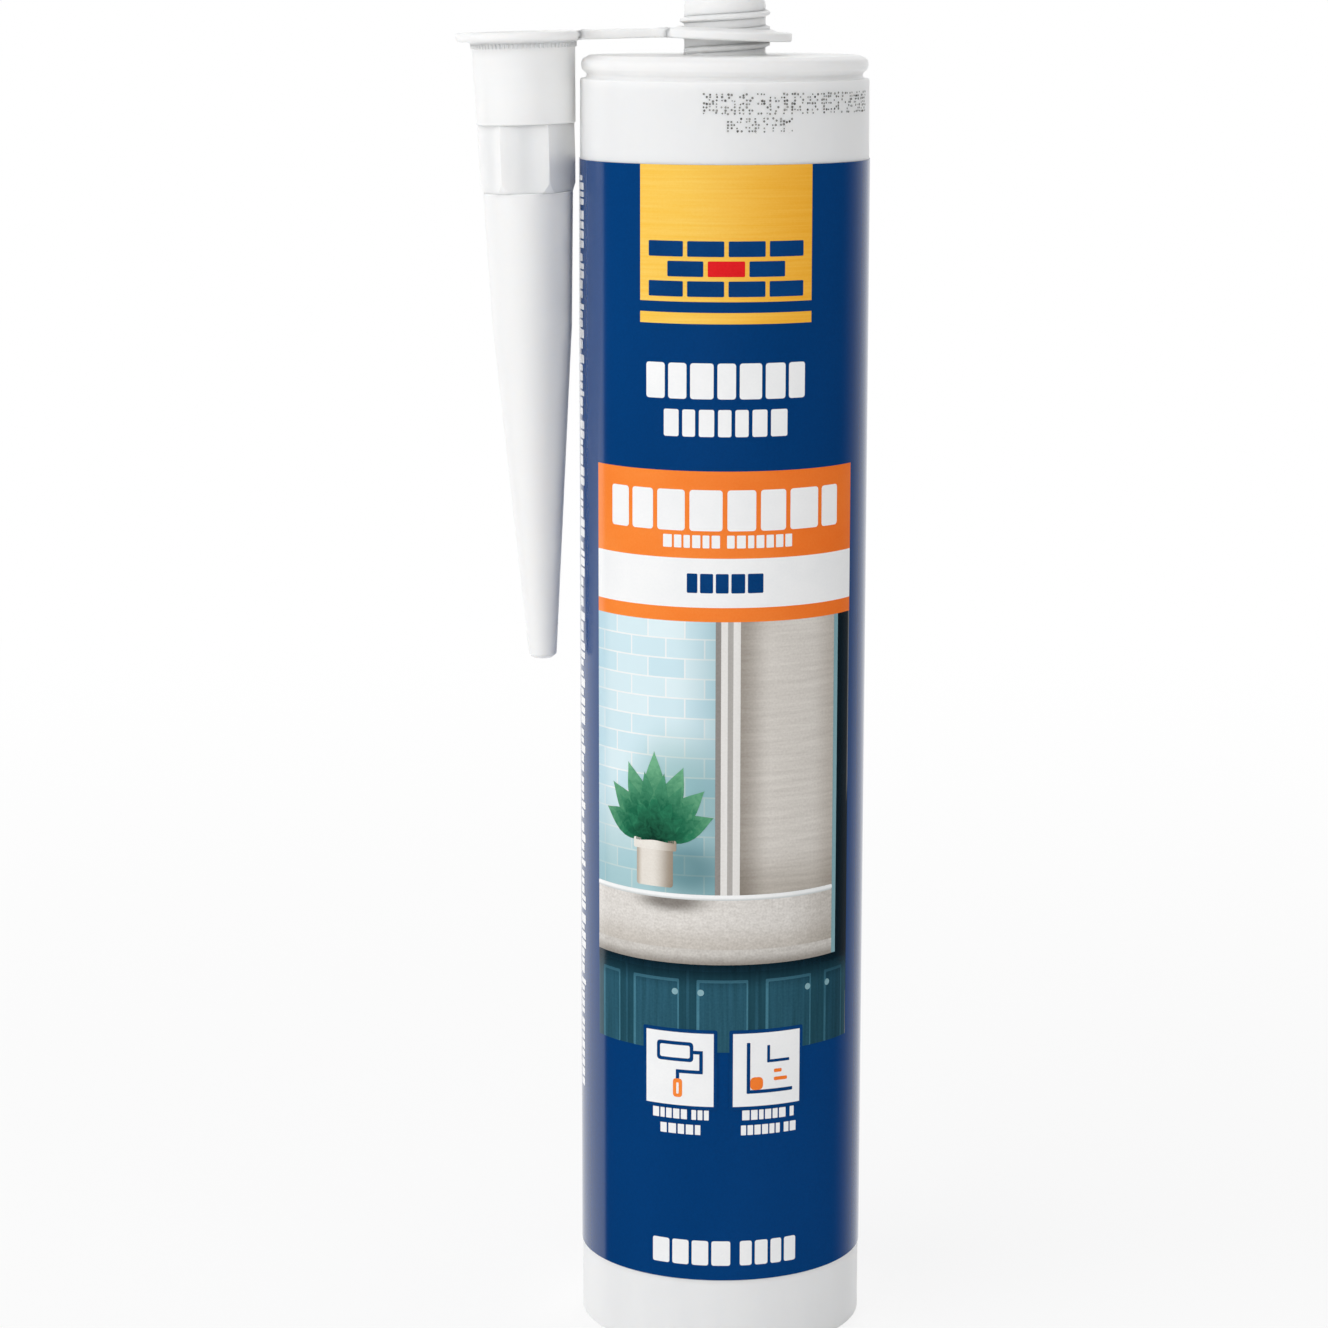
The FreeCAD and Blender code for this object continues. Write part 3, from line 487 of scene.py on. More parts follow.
# The strap is one flat outline, flared to run into the rims of the flange and the ring.
def strapPlate(sizes, place):
    bm = bmesh.new()
    flare = sizes["strapFlare"]
    half = sizes["strapWidth"] / 2
    depth = sizes["strapDepth"] * millimetre
    ends = []
    for middle, way, rim in ((0.0, 1, sizes["flangeRim"]),
                             (sizes["ringPlace"][0], -1, sizes["ringRim"])):
        turn = math.acos((half + flare) / (rim + flare))
        touch = (middle + way * rim * math.sin(turn), rim * math.cos(turn))
        corner = middle + way * ((rim + flare) * math.sin(turn) - flare * math.tan(turn / 2))
        ends.append((touch, corner, turn))
    (leftTouch, leftCorner, leftTurn), (rightTouch, rightCorner, rightTurn) = ends
    lower = [(leftTouch[0], -leftTouch[1]), (leftCorner, -half), (rightCorner, -half),
             (rightTouch[0], -rightTouch[1])]
    outline = lower + [(x, -y) for x, y in reversed(lower)]
    verts = [bm.verts.new((x * millimetre, y * millimetre, 0)) for x, y in outline]
    bm.faces.new(verts)
    for turn, pair in ((leftTurn, (1, 6)), (rightTurn, (2, 5))):
        bmesh.ops.bevel(bm, geom=[verts[index] for index in pair], profile=0.5,
                        segments=sizes["sweepSteps"], affect="VERTICES", material=-1,
                        offset=flare * math.tan(turn / 2) * millimetre)
    bmesh.ops.solidify(bm, geom=bm.faces[:], thickness=depth)
    bmesh.ops.recalc_face_normals(bm, faces=bm.faces[:])
    low = min(vert.co.z for vert in bm.verts)
    bmesh.ops.translate(bm, vec=(0, 0, -depth - low), verts=bm.verts[:])
    rims = [edge for edge in bm.edges
            if abs(edge.verts[0].co.z - edge.verts[1].co.z) < weldReach
            and edge.calc_face_angle(0) > sizes["strapCorner"]]
    bmesh.ops.bevel(bm, geom=rims, offset=sizes["strapEdge"] * millimetre, segments=3,
                    profile=0.5, affect="EDGES", material=-1)
    bmesh.ops.transform(bm, matrix=place, verts=bm.verts[:])
    return bm


# Fine gripping ribs stand under the flange, all round the socket.
def flangeRibs(sizes, place):
    bm = bmesh.new()
    spot = Matrix.Translation(Vector(sizes["ribPlace"]) * millimetre)
    size = Matrix.Diagonal((*(length * millimetre for length in sizes["ribSize"]), 1))
    bmesh.ops.create_cube(bm, size=1.0, matrix=spot @ size)
    bmesh.ops.bevel(bm, geom=bm.edges[:], offset=sizes["ribEdge"] * millimetre, segments=1,
                    profile=0.5, affect="EDGES", material=-1)
    count = sizes["ribs"]
    bmesh.ops.spin(bm, geom=bm.verts[:] + bm.edges[:] + bm.faces[:], cent=(0, 0, 0),
                   axis=(0, 0, 1), angle=math.tau * (count - 1) / count, steps=count - 1,
                   use_duplicate=True)
    bmesh.ops.recalc_face_normals(bm, faces=bm.faces[:])
    bmesh.ops.transform(bm, matrix=place, verts=bm.verts[:])
    return bm


nozzlePlace = (Matrix.Translation(Vector(nozzleSizes["place"]) * millimetre)
               @ Matrix.Rotation(math.radians(-nozzleSizes["tilt"]), 4, "Y"))
ringPlace = (nozzlePlace @ Matrix.Translation(Vector(nozzleSizes["ringPlace"]) * millimetre)
             @ Matrix.Rotation(math.radians(nozzleSizes["ringTilt"]), 4, "Y"))
nozzlePlastic = mouldedPolyethylene("mouldedNozzlePolyethylene", pale="#FCFCFB", deep="#F8F8F7",
                                    roughness=0.32, streak=0.08, depth=0.8)
finishPiece("nozzle_cone",
            [lathe(nozzleOutline, nozzleSizes["steps"], place=nozzlePlace),
             hexGrip(nozzleSizes, nozzlePlace), screwRidge(socketThread, nozzlePlace),
             strapPlate(nozzleSizes, nozzlePlace), flangeRibs(nozzleSizes, nozzlePlace),
             lathe(ringOutline, nozzleSizes["steps"], place=ringPlace)],
            [nozzlePlastic], "nozzle", ["nozzle"], weighted=True)
print("nozzle, strap and ring made")


# The filling: a smooth acrylic paste that shortens as the piston pushes it.
sealantSteps = 128
sealantOutline = [
    (0.0, 46.0), (22.05, 46.0), (22.98, 47.0), (22.98, 210.13), (22.18, 210.93, 0.3),
    (5.08, 213.53), (5.08, 223.43), (4.18, 224.63), (0.0, 224.63),
]


# Acrylic sealant paste, cast by its container. Wet, off-white and smooth, with slow swirls.
def acrylicPaste():
    material, tree = newMaterial("wetAcrylicPaste")
    place = addNode(tree, "ShaderNodeTexCoord").outputs["Object"]
    swirl = addNode(tree, "ShaderNodeTexNoise", inputs={
        "Vector": place, "Scale": 120.0, "Detail": 4.0, "Distortion": 1.5})
    colour = addNode(tree, "ShaderNodeValToRGB", {"stops": [(0.3, "#E9E8E3"), (0.7, "#F4F3EF")]},
                     {"Fac": swirl.outputs[0]})
    bump = addNode(tree, "ShaderNodeBump", inputs={
        "Height": swirl.outputs[0], "Strength": 0.3, "Distance": 0.0002})
    finishMaterial(tree, {"Base Color": colour.outputs[0], "Roughness": 0.22, "IOR": 1.46,
                          "Normal": bump.outputs[0]})
    return material


sealantFill = finishPiece("sealant_fill", [lathe(sealantOutline, sealantSteps, loop=False)],
                          [acrylicPaste()], "barrel", ["sealant"])
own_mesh(sealantFill)

pistonPlastic = mouldedPolyethylene("mouldedPistonPolyethylene", pale="#EFF0EC", deep="#E2E4DE",
                                    roughness=0.4, streak=1.0, depth=1.5)
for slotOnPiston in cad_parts["piston"].material_slots:
    slotOnPiston.material = pistonPlastic
print("piston and sealant finished")


# Printed shapes are laid flat first. X is mm round the label from its front, Y is mm up from
# the rear rim and Z counts the inks out from the film.
labelSizes = {
    "filmInner": 24.0,
    "filmOuter": 24.1,
    "foot": 12.6,
    "top": 198.9,
    "inkBase": 0.012,
    "inkStep": 0.02,
    "inkDepth": 0.015,
    "lapHalf": 4.0,
    "cutStep": 1.0,
    "cutReach": 1e-6,
    "weldReach": 1e-5,
    "seed": 7,
}
flatSizes = {"cornerSteps": 3, "discSides": 24, "leafSides": 28, "leafPinch": 0.7}


def giveTone(verts, tone):
    for face in {face for vert in verts for face in vert.link_faces}:
        face.material_index = tone


def addBar(bm, bar, layer=0, corner=0.0, tone=0):
    left, right, low, high = bar
    place = (Matrix.Translation(((left + right) / 2, (low + high) / 2, layer))
             @ Matrix.Diagonal((right - left, high - low, 1, 1)))
    made = bmesh.ops.create_grid(bm, x_segments=1, y_segments=1, size=0.5, matrix=place)["verts"]
    giveTone(made, tone)
    if corner:
        bmesh.ops.bevel(bm, geom=made, offset=corner, segments=flatSizes["cornerSteps"],
                        profile=0.5, affect="VERTICES", material=-1)


def addDisc(bm, middle, radius, layer, tone):
    made = bmesh.ops.create_circle(bm, cap_ends=True, segments=flatSizes["discSides"],
                                   radius=radius,
                                   matrix=Matrix.Translation((*middle, layer)))["verts"]
    giveTone(made, tone)


# A leaf is a circle drawn long and pinched to points at its root and tip.
def addLeaf(bm, root, lean, length, width, layer, tone):
    made = bmesh.ops.create_circle(bm, cap_ends=True, segments=flatSizes["leafSides"],
                                   radius=1.0)["verts"]
    for vert in made:
        narrow = max(math.cos(vert.co.y * math.pi / 2), 0.0) ** flatSizes["leafPinch"]
        vert.co.x *= narrow * 0.5 * width
        vert.co.y = (vert.co.y + 1) * length / 2
    place = Matrix.Translation((*root, layer)) @ Matrix.Rotation(math.radians(-lean), 4, "Z")
    bmesh.ops.transform(bm, matrix=place, verts=made)
    giveTone(made, tone)


# Wraps flat shapes round the label, one thin ink for each layer.
def wrapInk(bm, sizes):
    bmesh.ops.remove_doubles(bm, verts=bm.verts[:], dist=sizes["weldReach"])
    bmesh.ops.reverse_faces(bm, faces=[face for face in bm.faces if face.normal.z < 0])
    for vert in bm.verts:
        vert.co.z *= sizes["inkStep"]
    lowest = min(vert.co.z for vert in bm.verts)
    bmesh.ops.solidify(bm, geom=bm.faces[:], thickness=sizes["inkDepth"])
    sunk = lowest - min(vert.co.z for vert in bm.verts)
    bmesh.ops.translate(bm, vec=(0, 0, sunk), verts=bm.verts[:])
    step = sizes["cutStep"]
    left = min(vert.co.x for vert in bm.verts)
    right = max(vert.co.x for vert in bm.verts)
    for cut in range(math.floor(left / step), math.ceil(right / step) + 1):
        bmesh.ops.bisect_plane(bm, geom=bm.verts[:] + bm.edges[:] + bm.faces[:],
                               dist=sizes["cutReach"], plane_co=((cut + 0.5) * step, 0, 0),
                               plane_no=(1, 0, 0))
    across = bm.loops.layers.uv.new("UVMap")
    for face in bm.faces:
        for loop in face.loops:
            loop[across].uv = loop.vert.co.xy
    for vert in bm.verts:
        angle = vert.co.x / sizes["filmOuter"]
        radius = (sizes["filmOuter"] + sizes["inkBase"] + vert.co.z) * millimetre
        vert.co = Vector((radius * math.sin(angle), -radius * math.cos(angle),
                          vert.co.y * millimetre))
    bmesh.ops.recalc_face_normals(bm, faces=bm.faces[:])
    return bm


# How much wider the gap after a word is, the share of tall letters and the others' height.
wordSizes = {"gap": 3, "tall": 0.35, "low": 0.74}


# Stands where a line of text would be: blocks of mixed width, with a wider gap now and then.
def addWords(bm, row, dice):
    left, right, low, high = row["place"]
    spots = []
    at = left
    run = 0
    while at < right - row["narrow"]:
        width = dice.uniform(row["narrow"], row["wide"])
        spots.append((at, at + width))
        run += 1
        rest = row["gap"]
        if row.get("word") and run >= dice.randint(*row["word"]):
            rest = row["gap"] * wordSizes["gap"]
            run = 0
        at += width + rest
    stretch = (right - left) / (spots[-1][1] - left)
    for start, end in spots:
        start, end = left + (start - left) * stretch, left + (end - left) * stretch
        top = high
        if row.get("mixed") and dice.random() >= wordSizes["tall"]:
            top = low + (high - low) * wordSizes["low"]
        bar = (low, top, start, end) if row.get("turned") else (start, end, low, top)
        addBar(bm, bar, row.get("layer", 0), row.get("corner", 0.0))


# Lacquered printing on a plastic film. The lacquer is smooth and glossy, over the fine grain of
# the printing screen, drawn about twice as coarse as it is so that it shows. paint gives the
# colour from a place in mm round and up the label.
def newInk(name, paint):
    material, tree = newMaterial(name)
    place = addNode(tree, "ShaderNodeUVMap", {"uv_map": "UVMap"}).outputs[0]
    grain = addNode(tree, "ShaderNodeTexNoise", inputs={
        "Vector": place, "Scale": 3.0, "Detail": 1.0})
    gloss = addNode(tree, "ShaderNodeMapRange", inputs={
        "Value": grain.outputs[0], "To Min": 0.1, "To Max": 0.17})
    bump = addNode(tree, "ShaderNodeBump", inputs={
        "Height": grain.outputs[0], "Strength": 0.05, "Distance": 0.00002})
    finishMaterial(tree, {"Base Color": paint(tree, place), "Roughness": gloss.outputs[0],
                          "IOR": 1.5, "Normal": bump.outputs[0]})
    return material


# Ink that is nearly even: soft clouds, drawn out by streak across or up the label, and a share of
# screen grain. mottle is the scale of the clouds.
def evenTone(pale, deep, streak=(1, 1), mottle=0.08, grainShare=0.25):
    def paint(tree, place):
        spread = addNode(tree, "ShaderNodeMapping", inputs={
            "Vector": place, "Scale": (streak[0], streak[1], 1)})
        cloud = addNode(tree, "ShaderNodeTexNoise", inputs={
            "Vector": spread.outputs[0], "Scale": mottle, "Detail": 4.0, "Roughness": 0.6})
        grain = addNode(tree, "ShaderNodeTexNoise", inputs={
            "Vector": place, "Scale": 2.5, "Detail": 1.0})
        tone = addNode(tree, "ShaderNodeMix", {"data_type": "FLOAT"},
                       {0: grainShare, 2: cloud.outputs[0], 3: grain.outputs[0]})
        return addNode(tree, "ShaderNodeValToRGB", {"stops": [(0.35, deep), (0.65, pale)]},
                       {"Fac": tone.outputs[0]}).outputs[0]
    return paint


# Glazed wall tiles in running bond, each a slightly different tone, with a pale joint.
def tiledTone(pale, deep, joint, width, height):
    def paint(tree, place):
        tiles = addNode(tree, "ShaderNodeTexBrick", {"offset": 0.5}, {
            "Vector": place, "Color1": pale, "Color2": deep, "Mortar": joint, "Scale": 1.0,
            "Mortar Size": 0.16, "Mortar Smooth": 0.4, "Brick Width": width,
            "Row Height": height})
        return tiles.outputs[0]
    return paint


# Dark where leaves meet at the stem and pale at their tips, with fine veins.
def leafTone(stem, reach, stops):
    def paint(tree, place):
        away = addNode(tree, "ShaderNodeVectorMath", {"operation": "DISTANCE"},
                       {0: place, 1: (*stem, 0)})
        veins = addNode(tree, "ShaderNodeTexNoise", inputs={
            "Vector": place, "Scale": 0.9, "Detail": 4.0, "Distortion": 1.0})
        share = addNode(tree, "ShaderNodeMapRange", inputs={
            "Value": away.outputs["Value"], "From Max": reach, "To Min": -0.15, "To Max": 0.75})
        tone = addNode(tree, "ShaderNodeMath", {"operation": "MULTIPLY_ADD"},
                       {0: veins.outputs[0], 1: 0.45, 2: share.outputs[0]})
        return addNode(tree, "ShaderNodeValToRGB", {"stops": stops},
                       {"Fac": tone.outputs[0]}).outputs[0]
    return paint


# Lays darker tints over a tone. In the picture they are its printed shadows; on the plain gold and
# orange fields they are painted shade. A bank is full at its first place and gone at its second,
# round (0) or up (1) the label in mm. A pool is an oval, by its middle and its two half sizes.
def shaded(paint, banks=(), pools=()):
    def paintShaded(tree, place):
        colour = paint(tree, place)
        axes = addNode(tree, "ShaderNodeSeparateXYZ", inputs={0: place})
        shares = [(axes.outputs[axis], start, end, tint) for axis, start, end, tint in banks]
        for middle, half, tint in pools:
            oval = addNode(tree, "ShaderNodeMapping", {"vector_type": "TEXTURE"}, {
                "Vector": place, "Location": (*middle, 0), "Scale": (*half, 1)})
            away = addNode(tree, "ShaderNodeVectorMath", {"operation": "LENGTH"},
                           {0: oval.outputs[0]})
            shares.append((away.outputs["Value"], 0.2, 1.0, tint))
        for value, start, end, tint in shares:
            share = addNode(tree, "ShaderNodeMapRange", {"interpolation_type": "SMOOTHSTEP"},
                            {"Value": value, "From Min": start, "From Max": end,
                             "To Min": 1.0, "To Max": 0.0})
            colour = addNode(tree, "ShaderNodeMix",
                             {"data_type": "RGBA", "blend_type": "MULTIPLY"},
                             {0: share.outputs[0], 6: colour, 7: tint}).outputs[2]
        return colour
    return paintShaded


# The film is printed blue on its underside. It varies in long soft bands along the tube.
def printedFilm():
    material, tree = newMaterial("printedPolypropyleneFilm")
    place = addNode(tree, "ShaderNodeTexCoord").outputs["Object"]
    spread = addNode(tree, "ShaderNodeMapping", inputs={"Vector": place, "Scale": (1, 1, 0.3)})
    cloud = addNode(tree, "ShaderNodeTexNoise", inputs={
        "Vector": spread.outputs[0], "Scale": 35.0, "Detail": 3.0})
    grain = addNode(tree, "ShaderNodeTexNoise", inputs={
        "Vector": place, "Scale": 2600.0, "Detail": 1.0})
    tone = addNode(tree, "ShaderNodeMix", {"data_type": "FLOAT"},
                   {0: 0.3, 2: cloud.outputs[0], 3: grain.outputs[0]})
    colour = addNode(tree, "ShaderNodeValToRGB", {"stops": [(0.3, "#00376F"), (0.7, "#00407F")]},
                     {"Fac": tone.outputs[0]})
    gloss = addNode(tree, "ShaderNodeMapRange", inputs={
        "Value": cloud.outputs[0], "To Min": 0.08, "To Max": 0.16})
    bump = addNode(tree, "ShaderNodeBump", inputs={
        "Height": grain.outputs[0], "Strength": 0.05, "Distance": 0.00002})
    finishMaterial(tree, {"Base Color": colour.outputs[0], "Roughness": gloss.outputs[0],
                          "IOR": 1.5, "Normal": bump.outputs[0]})
    return material


filmOutline = [
    (labelSizes["filmInner"], labelSizes["foot"]), (labelSizes["filmOuter"], labelSizes["foot"]),
    (labelSizes["filmOuter"], labelSizes["top"]), (labelSizes["filmInner"], labelSizes["top"]),
]
halfTurn = math.pi * labelSizes["filmOuter"]
lap = bmesh.new()
addBar(lap, (halfTurn - labelSizes["lapHalf"], halfTurn + labelSizes["lapHalf"],
             labelSizes["foot"], labelSizes["top"]))
finishPiece("label_wrap", [lathe(filmOutline, barrelSteps), wrapInk(lap, labelSizes)], [printedFilm()],
            "barrel", ["label_film"])
print("label film wrapped")


# The printed fields, as left, right, low and high in mm.
fieldSizes = {
    "goldPanel": (-14.7, 14.7, 177.1, 198.9),
    "goldStripe": (-14.7, 14.7, 173.55, 175.35),
    "orangeBand": (-25.0, 25.0, 135.5, 149.75),
    "orangeLine": (-25.0, 25.0, 125.05, 127.4),
    "whiteBand": (-25.0, 25.0, 127.4, 135.5),
    "tiles": ((-13.4, -1.6, 43.0, 55.6), (1.6, 13.4, 43.0, 55.6)),
    "tileBorder": 0.6,
    "tileCorner": 0.3,
}
caption = {"narrow": 0.7, "wide": 1.2, "gap": 0.25, "corner": 0.08, "word": (3, 6)}
textRows = [
    {"place": (-13.5, 13.5, 161.45, 167.25), "narrow": 2.6, "wide": 3.9, "gap": 0.55,
     "corner": 0.45},
    {"place": (-10.3, 10.3, 155.35, 159.75), "narrow": 2.0, "wide": 2.9, "gap": 0.6,
     "corner": 0.3},
    {"place": (-20.9, 20.9, 140.0, 146.7), "narrow": 3.4, "wide": 5.2, "gap": 0.75,
     "corner": 0.5, "layer": 1},
    {"place": (-10.4, 11.3, 137.2, 139.3), "narrow": 0.9, "wide": 1.5, "gap": 0.35,
     "corner": 0.12, "word": (4, 9), "layer": 1},
    {**caption, "place": (-12.2, -2.4, 40.6, 42.3)},
    {**caption, "place": (-10.8, -3.8, 38.0, 39.7)},
    {**caption, "place": (3.2, 12.4, 40.6, 42.3)},
    {**caption, "place": (3.0, 12.8, 38.0, 39.7)},
    {"place": (-12.2, 12.9, 15.2, 19.5), "narrow": 1.8, "wide": 3.0, "gap": 0.5,
     "corner": 0.35, "word": (3, 5)},
    {"place": (-6.3, 6.3, 129.8, 133.0), "narrow": 1.6, "wide": 2.4, "gap": 0.4,
     "corner": 0.2, "layer": 1, "ink": "navy"},
    {"place": (41.0, 196.3, -34.6, -31.2), "turned": True, "narrow": 0.8, "wide": 1.5,
     "gap": 0.32, "corner": 0.15, "word": (4, 9), "mixed": True},
]
# Small print on the far side, in columns that are read up the tube.
smallPrint = {"first": -38.0, "last": -60.0, "pitch": 1.8, "height": 1.1, "ragged": 10.0,
              "columns": ((44.0, 90.0), (96.0, 142.0), (148.0, 194.0)),
              "words": {"turned": True, "narrow": 0.7, "wide": 1.5, "gap": 0.35, "word": (3, 8),
                        "mixed": True}}
brickSizes = {"length": 6.0, "height": 2.5, "joint": 0.7, "foot": 177.9, "courses": 3, "count": 4,
              "corner": 0.2, "red": (1, 1)}


# The small wall's bricks, each with whether it is the red one.
def brickCourses(sizes):
    pitch = sizes["length"] + sizes["joint"]
    wall = sizes["count"] * pitch - sizes["joint"]
    for course in range(sizes["courses"]):
        low = sizes["foot"] + course * (sizes["height"] + sizes["joint"])
        for index in range(sizes["count"] - course % 2):
            left = -wall / 2 + (course % 2) * pitch / 2 + index * pitch
            yield (course, index) == sizes["red"], (left, left + sizes["length"],
                                                    low, low + sizes["height"])


dice = random.Random(labelSizes["seed"])
inks = {name: bmesh.new() for name in ("gold", "orange", "red", "white", "navy")}
for ink, field in (("gold", "goldPanel"), ("gold", "goldStripe"), ("orange", "orangeBand"),
                   ("orange", "orangeLine"), ("white", "whiteBand")):
    addBar(inks[ink], fieldSizes[field])
for isRed, brick in brickCourses(brickSizes):
    addBar(inks["red" if isRed else "navy"], brick, layer=1, corner=brickSizes["corner"])
for row in textRows:
    addWords(inks[row.get("ink", "white")], row, dice)
line = smallPrint["first"]
while line > smallPrint["last"]:
    for low, high in smallPrint["columns"]:
        end = high - dice.uniform(0, smallPrint["ragged"])
        addWords(inks["white"], {**smallPrint["words"],
                                 "place": (low, end, line - smallPrint["height"], line)}, dice)
    line -= smallPrint["pitch"]

# The icons' tiles lie over the picture's layers.
for left, right, low, high in fieldSizes["tiles"]:
    border = fieldSizes["tileBorder"]
    addBar(inks["navy"], (left - border, right + border, low - border, high + border), layer=5,
           corner=fieldSizes["tileCorner"])
    addBar(inks["white"], (left, right, low, high), layer=6)

# The left icon is a paint roller, the right one a bead of sealant in a corner. Each bar is left,
# right, low, high, layer and corner.
iconBars = {
    "navy": [(-11.4, -5.0, 50.6, 54.0, 7, 0.6), (-5.0, -3.4, 52.0, 52.6, 7, 0),
             (-4.0, -3.4, 49.2, 52.0, 7, 0), (-8.0, -3.4, 48.6, 49.2, 7, 0),
             (-8.0, -7.4, 47.6, 48.6, 7, 0), (3.9, 4.5, 45.2, 54.0, 7, 0.1),
             (4.5, 12.0, 45.2, 45.8, 7, 0.1), (7.4, 7.9, 50.4, 53.4, 7, 0.1),
             (7.9, 11.4, 50.4, 50.9, 7, 0.1)],
    "white": [(-10.8, -5.6, 51.2, 53.4, 8, 0.3), (-7.9, -7.5, 45.0, 46.9, 8, 0.1)],
    "orange": [(-8.5, -6.9, 44.4, 47.6, 7, 0.5), (4.5, 6.7, 45.8, 48.0, 7, 0.7),
               (8.6, 11.0, 47.2, 47.8, 7, 0.2), (8.6, 10.0, 48.6, 49.2, 7, 0.2)],
}
for ink, bars in iconBars.items():
    for left, right, low, high, layer, corner in bars:
        addBar(inks[ink], (left, right, low, high), layer, corner)
print("inks laid out")

inkTones = {
    # Painted shade: the gold darkens towards the right, where the tube turns away from the key light.
    "gold": shaded(evenTone("#FFD365", "#FBC64C", (0.1, 4.0), 0.5, 0.2),
                   banks=[(0, 15.0, -10.0, "#FBE3B0")]),
    # Painted shade: the orange darkens towards the right, where the tube turns away from the key
    # light.
    "orange": shaded(evenTone("#FF9240", "#FB8430", (0.5, 1.0)),
                     banks=[(0, 25.0, -20.0, "#F9DFC8")]),
    "red": evenTone("#F02226", "#E0181F"),
    "white": evenTone("#FBFBFB", "#F4F5F6"),
    "navy": evenTone("#04427F", "#003870"),
}
for ink, shapes in inks.items():
    finishPiece(f"{ink}_ink", [wrapInk(shapes, labelSizes)],
                [newInk(f"{ink}PrintInk", inkTones[ink])], "barrel",
                [f"print_{ink}"])
print("inks wrapped")


# The picture: a corner of a kitchen that has been sealed. Fields are left, right, low, high.
pictureSizes = {
    "wall": (-25.0, 2.0, 78.4, 125.05),
    "plaster": (2.0, 20.5, 78.4, 125.05),
    "cupboard": (20.5, 25.0, 67.4, 125.05),
    "cupboardEdge": (20.5, 21.5, 67.4, 125.05),
    "worktop": (-25.0, 20.5, 67.4, 78.4),
    "worktopEdge": 2.6,
    "cabinet": (-25.0, 25.0, 52.4, 67.4),
    "doorEdges": (-25.0, -17.6, -6.0, 5.6, 17.2, 25.0),
    # The dark gap round a door, its pale edge and its face: left and right inset, top, corner, tone.
    "doorRests": ((0.25, 0.25, 66.2, 0.0, 3), (1.5, 1.5, 64.8, 0.2, 1), (2.0, 1.8, 64.3, 0.2, 0)),
    "knobs": (-8.2, -3.8, 15.0, 19.4),
    "knobHeight": 62.6,
    "knobRadius": 0.55,
    "bead": (-25.0, 20.5, 78.4, 79.3),
    "pot": (-15.4, -8.6, 80.2, 86.8),
    "potRim": (-16.0, -8.0, 86.4, 88.2),
    "stem": (-12.0, 88.0),
    # Rings of leaves from the back: count, share of the length, width and layer.
    "leafRings": ((7, 1.0, 4.4, 2), (8, 0.8, 3.0, 3), (5, 0.55, 2.6, 4)),
    "leafFan": 156.24,                     # degrees that a ring's leaves share
    "leafLength": 15.0,
    "leafFall": 0.057,                     # mm shorter for each degree of lean
}
# Upright trim where tiles and plaster meet: left, right and tone.
trimStrips = ((-1.5, -0.6, 1), (-0.6, 0.5, 2), (0.5, 1.4, 3), (1.4, 2.6, 2))
trimHeights = (79.3, 125.05)
pictures = {name: bmesh.new() for name in
            ("wall", "plaster", "worktop", "cabinet", "plant", "pot")}
for name in ("wall", "plaster", "worktop", "cabinet"):
    addBar(pictures[name], pictureSizes[name])
addBar(pictures["cabinet"], pictureSizes["cupboard"])
addBar(pictures["cabinet"], pictureSizes["cupboardEdge"], layer=1, tone=2)
for left, right, tone in trimStrips:
    addBar(pictures["plaster"], (left, right, *trimHeights), layer=1, tone=tone)
addBar(pictures["plaster"], pictureSizes["bead"], layer=2, corner=0.3, tone=4)
left, right, low, high = pictureSizes["worktop"]
addBar(pictures["worktop"], (left, right, low, low + pictureSizes["worktopEdge"]), layer=1, tone=1)
doorFoot = pictureSizes["cabinet"][2]
doorEdges = pictureSizes["doorEdges"]
for left, right in zip(doorEdges, doorEdges[1:]):
    for layer, (inLeft, inRight, top, corner, tone) in enumerate(pictureSizes["doorRests"], 1):
        addBar(pictures["cabinet"], (left + inLeft, right - inRight, doorFoot, top), layer,
               corner, tone)
for across in pictureSizes["knobs"]:
    addDisc(pictures["cabinet"], (across, pictureSizes["knobHeight"]), pictureSizes["knobRadius"],
            layer=4, tone=2)
for ring, (count, scale, width, layer) in enumerate(pictureSizes["leafRings"]):
    for index in range(count):
        lean = (index - (count - 1) / 2) * pictureSizes["leafFan"] / (count + 0.5 * ring)
        length = (pictureSizes["leafLength"] - pictureSizes["leafFall"] * abs(lean)) * scale
        addLeaf(pictures["plant"], pictureSizes["stem"], lean, length, width, layer, ring % 2)
addBar(pictures["pot"], pictureSizes["pot"], layer=1, corner=0.5)
addBar(pictures["pot"], pictureSizes["potRim"], layer=2, corner=0.3, tone=1)

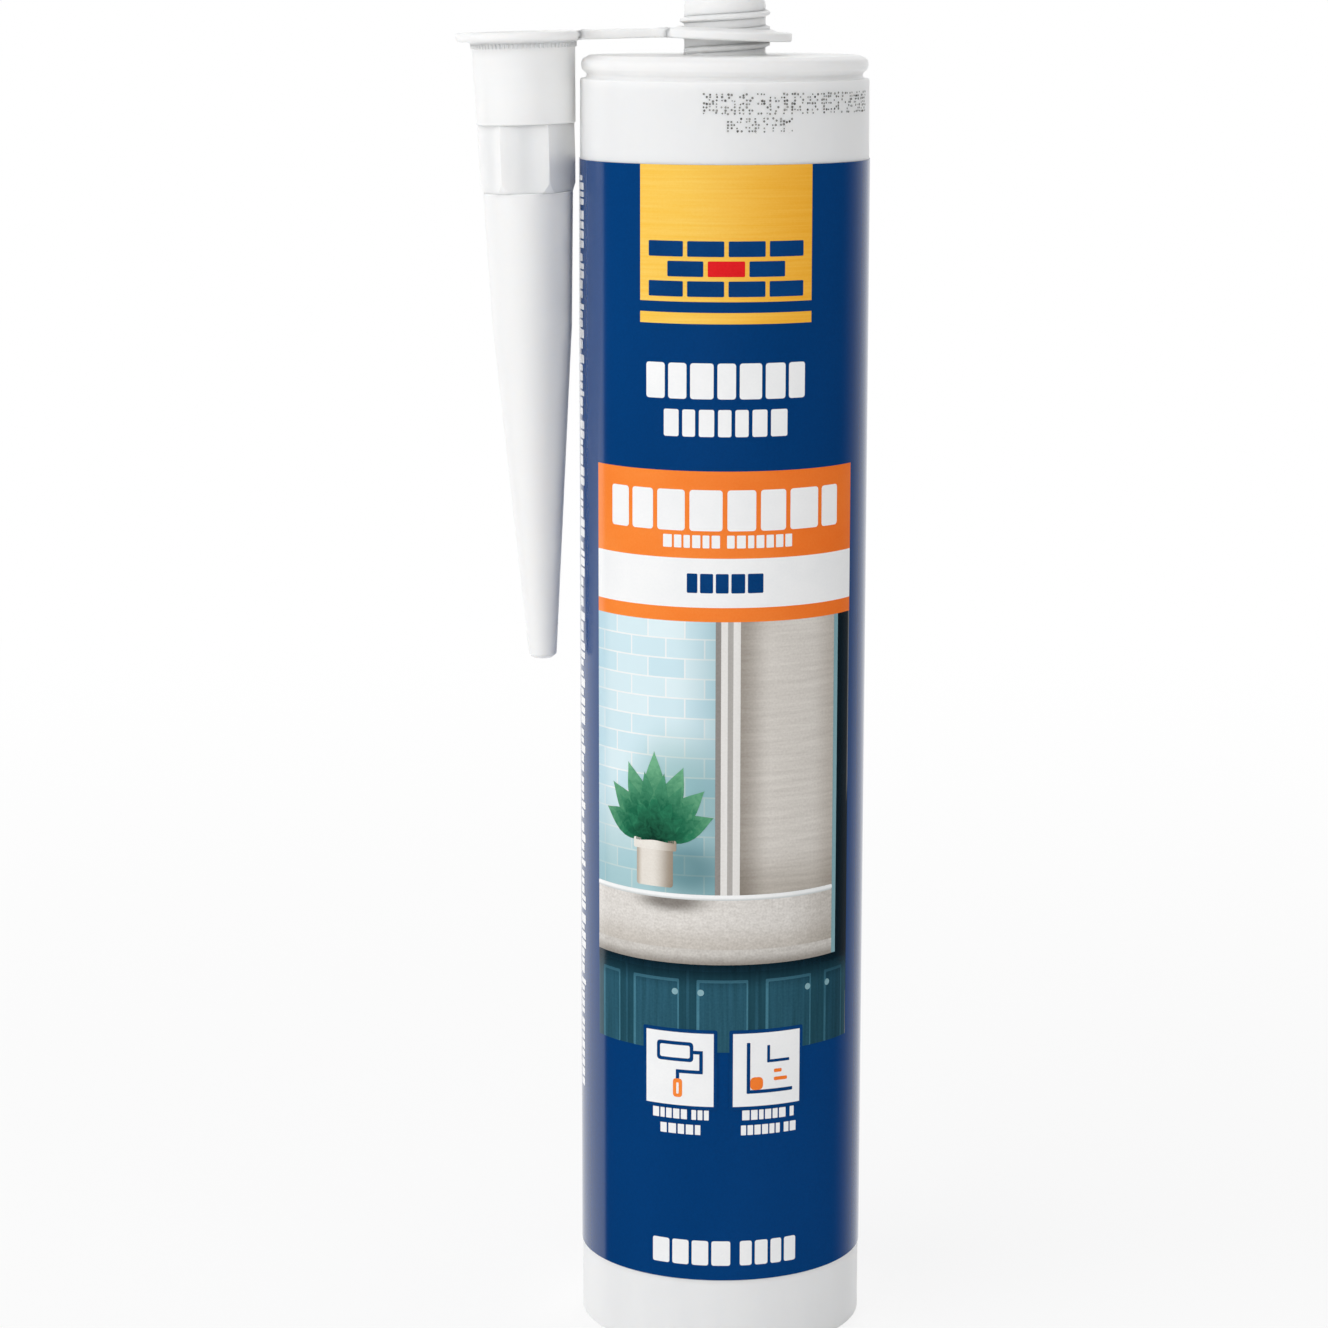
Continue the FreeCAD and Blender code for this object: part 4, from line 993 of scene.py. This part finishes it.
stem = pictureSizes["stem"]
pictureTones = {
    "wall": [shaded(tiledTone("#E4F4F8", "#CDE8F1", "#F4F8F8", 6.6, 3.3),
                    banks=[(0, 2.0, -9.0, "#C4D6DA"), (1, 79.0, 100.0, "#C9DCDC"),
                           (0, -25.0, -21.0, "#DDEAF0")],
                    pools=[((-6.5, 83.5), (9.0, 7.0), "#A9BDC0"),
                           ((-8.0, 96.0), (12.0, 14.0), "#C4D8D6")])],
    "plaster": [shaded(evenTone("#E2DDD6", "#CFC9C2", (0.15, 2.2), 0.6, 0.35),
                       banks=[(0, 2.6, 8.0, "#C2BEBA"), (0, 20.5, 15.0, "#E4E1DE"),
                              (1, 79.3, 88.0, "#DDDAD6")]),
                evenTone("#A19C98", "#8D8884", (3.0, 0.1)),
                evenTone("#F1EFEC", "#E3E0DC", (3.0, 0.1)),
                evenTone("#BDB9B5", "#ABA7A3", (3.0, 0.1)),
                shaded(evenTone("#FFFFFF", "#F4F6F6"), banks=[(1, 78.4, 78.9, "#D5D8D8")])],
    "worktop": [shaded(evenTone("#EBE7E2", "#D3CEC8", (0.6, 1.4), 1.0, 0.5),
                       banks=[(1, 70.0, 75.0, "#E6E3DF"), (0, 20.5, 10.0, "#E2E0DD")],
                       pools=[((-9.0, 78.0), (9.0, 2.6), "#9C9996")]),
                shaded(evenTone("#D9D5CF", "#C2BDB7", (0.6, 1.4), 1.0, 0.5),
                       banks=[(1, 67.4, 69.4, "#BFBBB7")])],
    "cabinet": [shaded(evenTone("#2F6074", "#24505F", (2.5, 0.1), 0.5),
                       banks=[(1, 67.4, 62.5, "#5E7078"), (0, 25.0, 8.0, "#BCCACF")]),
                shaded(evenTone("#4C8396", "#3E7386"), banks=[(1, 67.4, 62.5, "#5E7078"),
                                                             (0, 25.0, 8.0, "#BCCACF")]),
                evenTone("#8FB6BF", "#7BA5AF", (3.0, 0.1)),
                shaded(evenTone("#24505F", "#1D4654", (2.5, 0.1), 0.5),
                       banks=[(1, 67.4, 62.5, "#6E8088")])],
    "plant": [leafTone(stem, 15.0, [(0.1, "#0F3B2C"), (0.45, "#2A7A58"), (0.9, "#74B58C")]),
              leafTone(stem, 12.0, [(0.1, "#0A2E23"), (0.5, "#1F6A4C"), (0.95, "#56A079")])],
    "pot": [shaded(evenTone("#F1ECE4", "#E2DBD1"), banks=[(0, -8.6, -12.5, "#A79C90"),
                                                        (0, -15.4, -14.2, "#CFC6BC")]),
            shaded(evenTone("#F6F2EB", "#E8E2D9"), banks=[(0, -8.0, -12.5, "#B0A599")])],
}
for name, shapes in pictures.items():
    tones = [newInk(f"{name}PictureInk{index}", tone)
             for index, tone in enumerate(pictureTones[name], 1)]
    finishPiece(f"{name}_picture", [wrapInk(shapes, labelSizes)], tones, "barrel",
                [f"print_picture_{name}"])
print("picture printed")
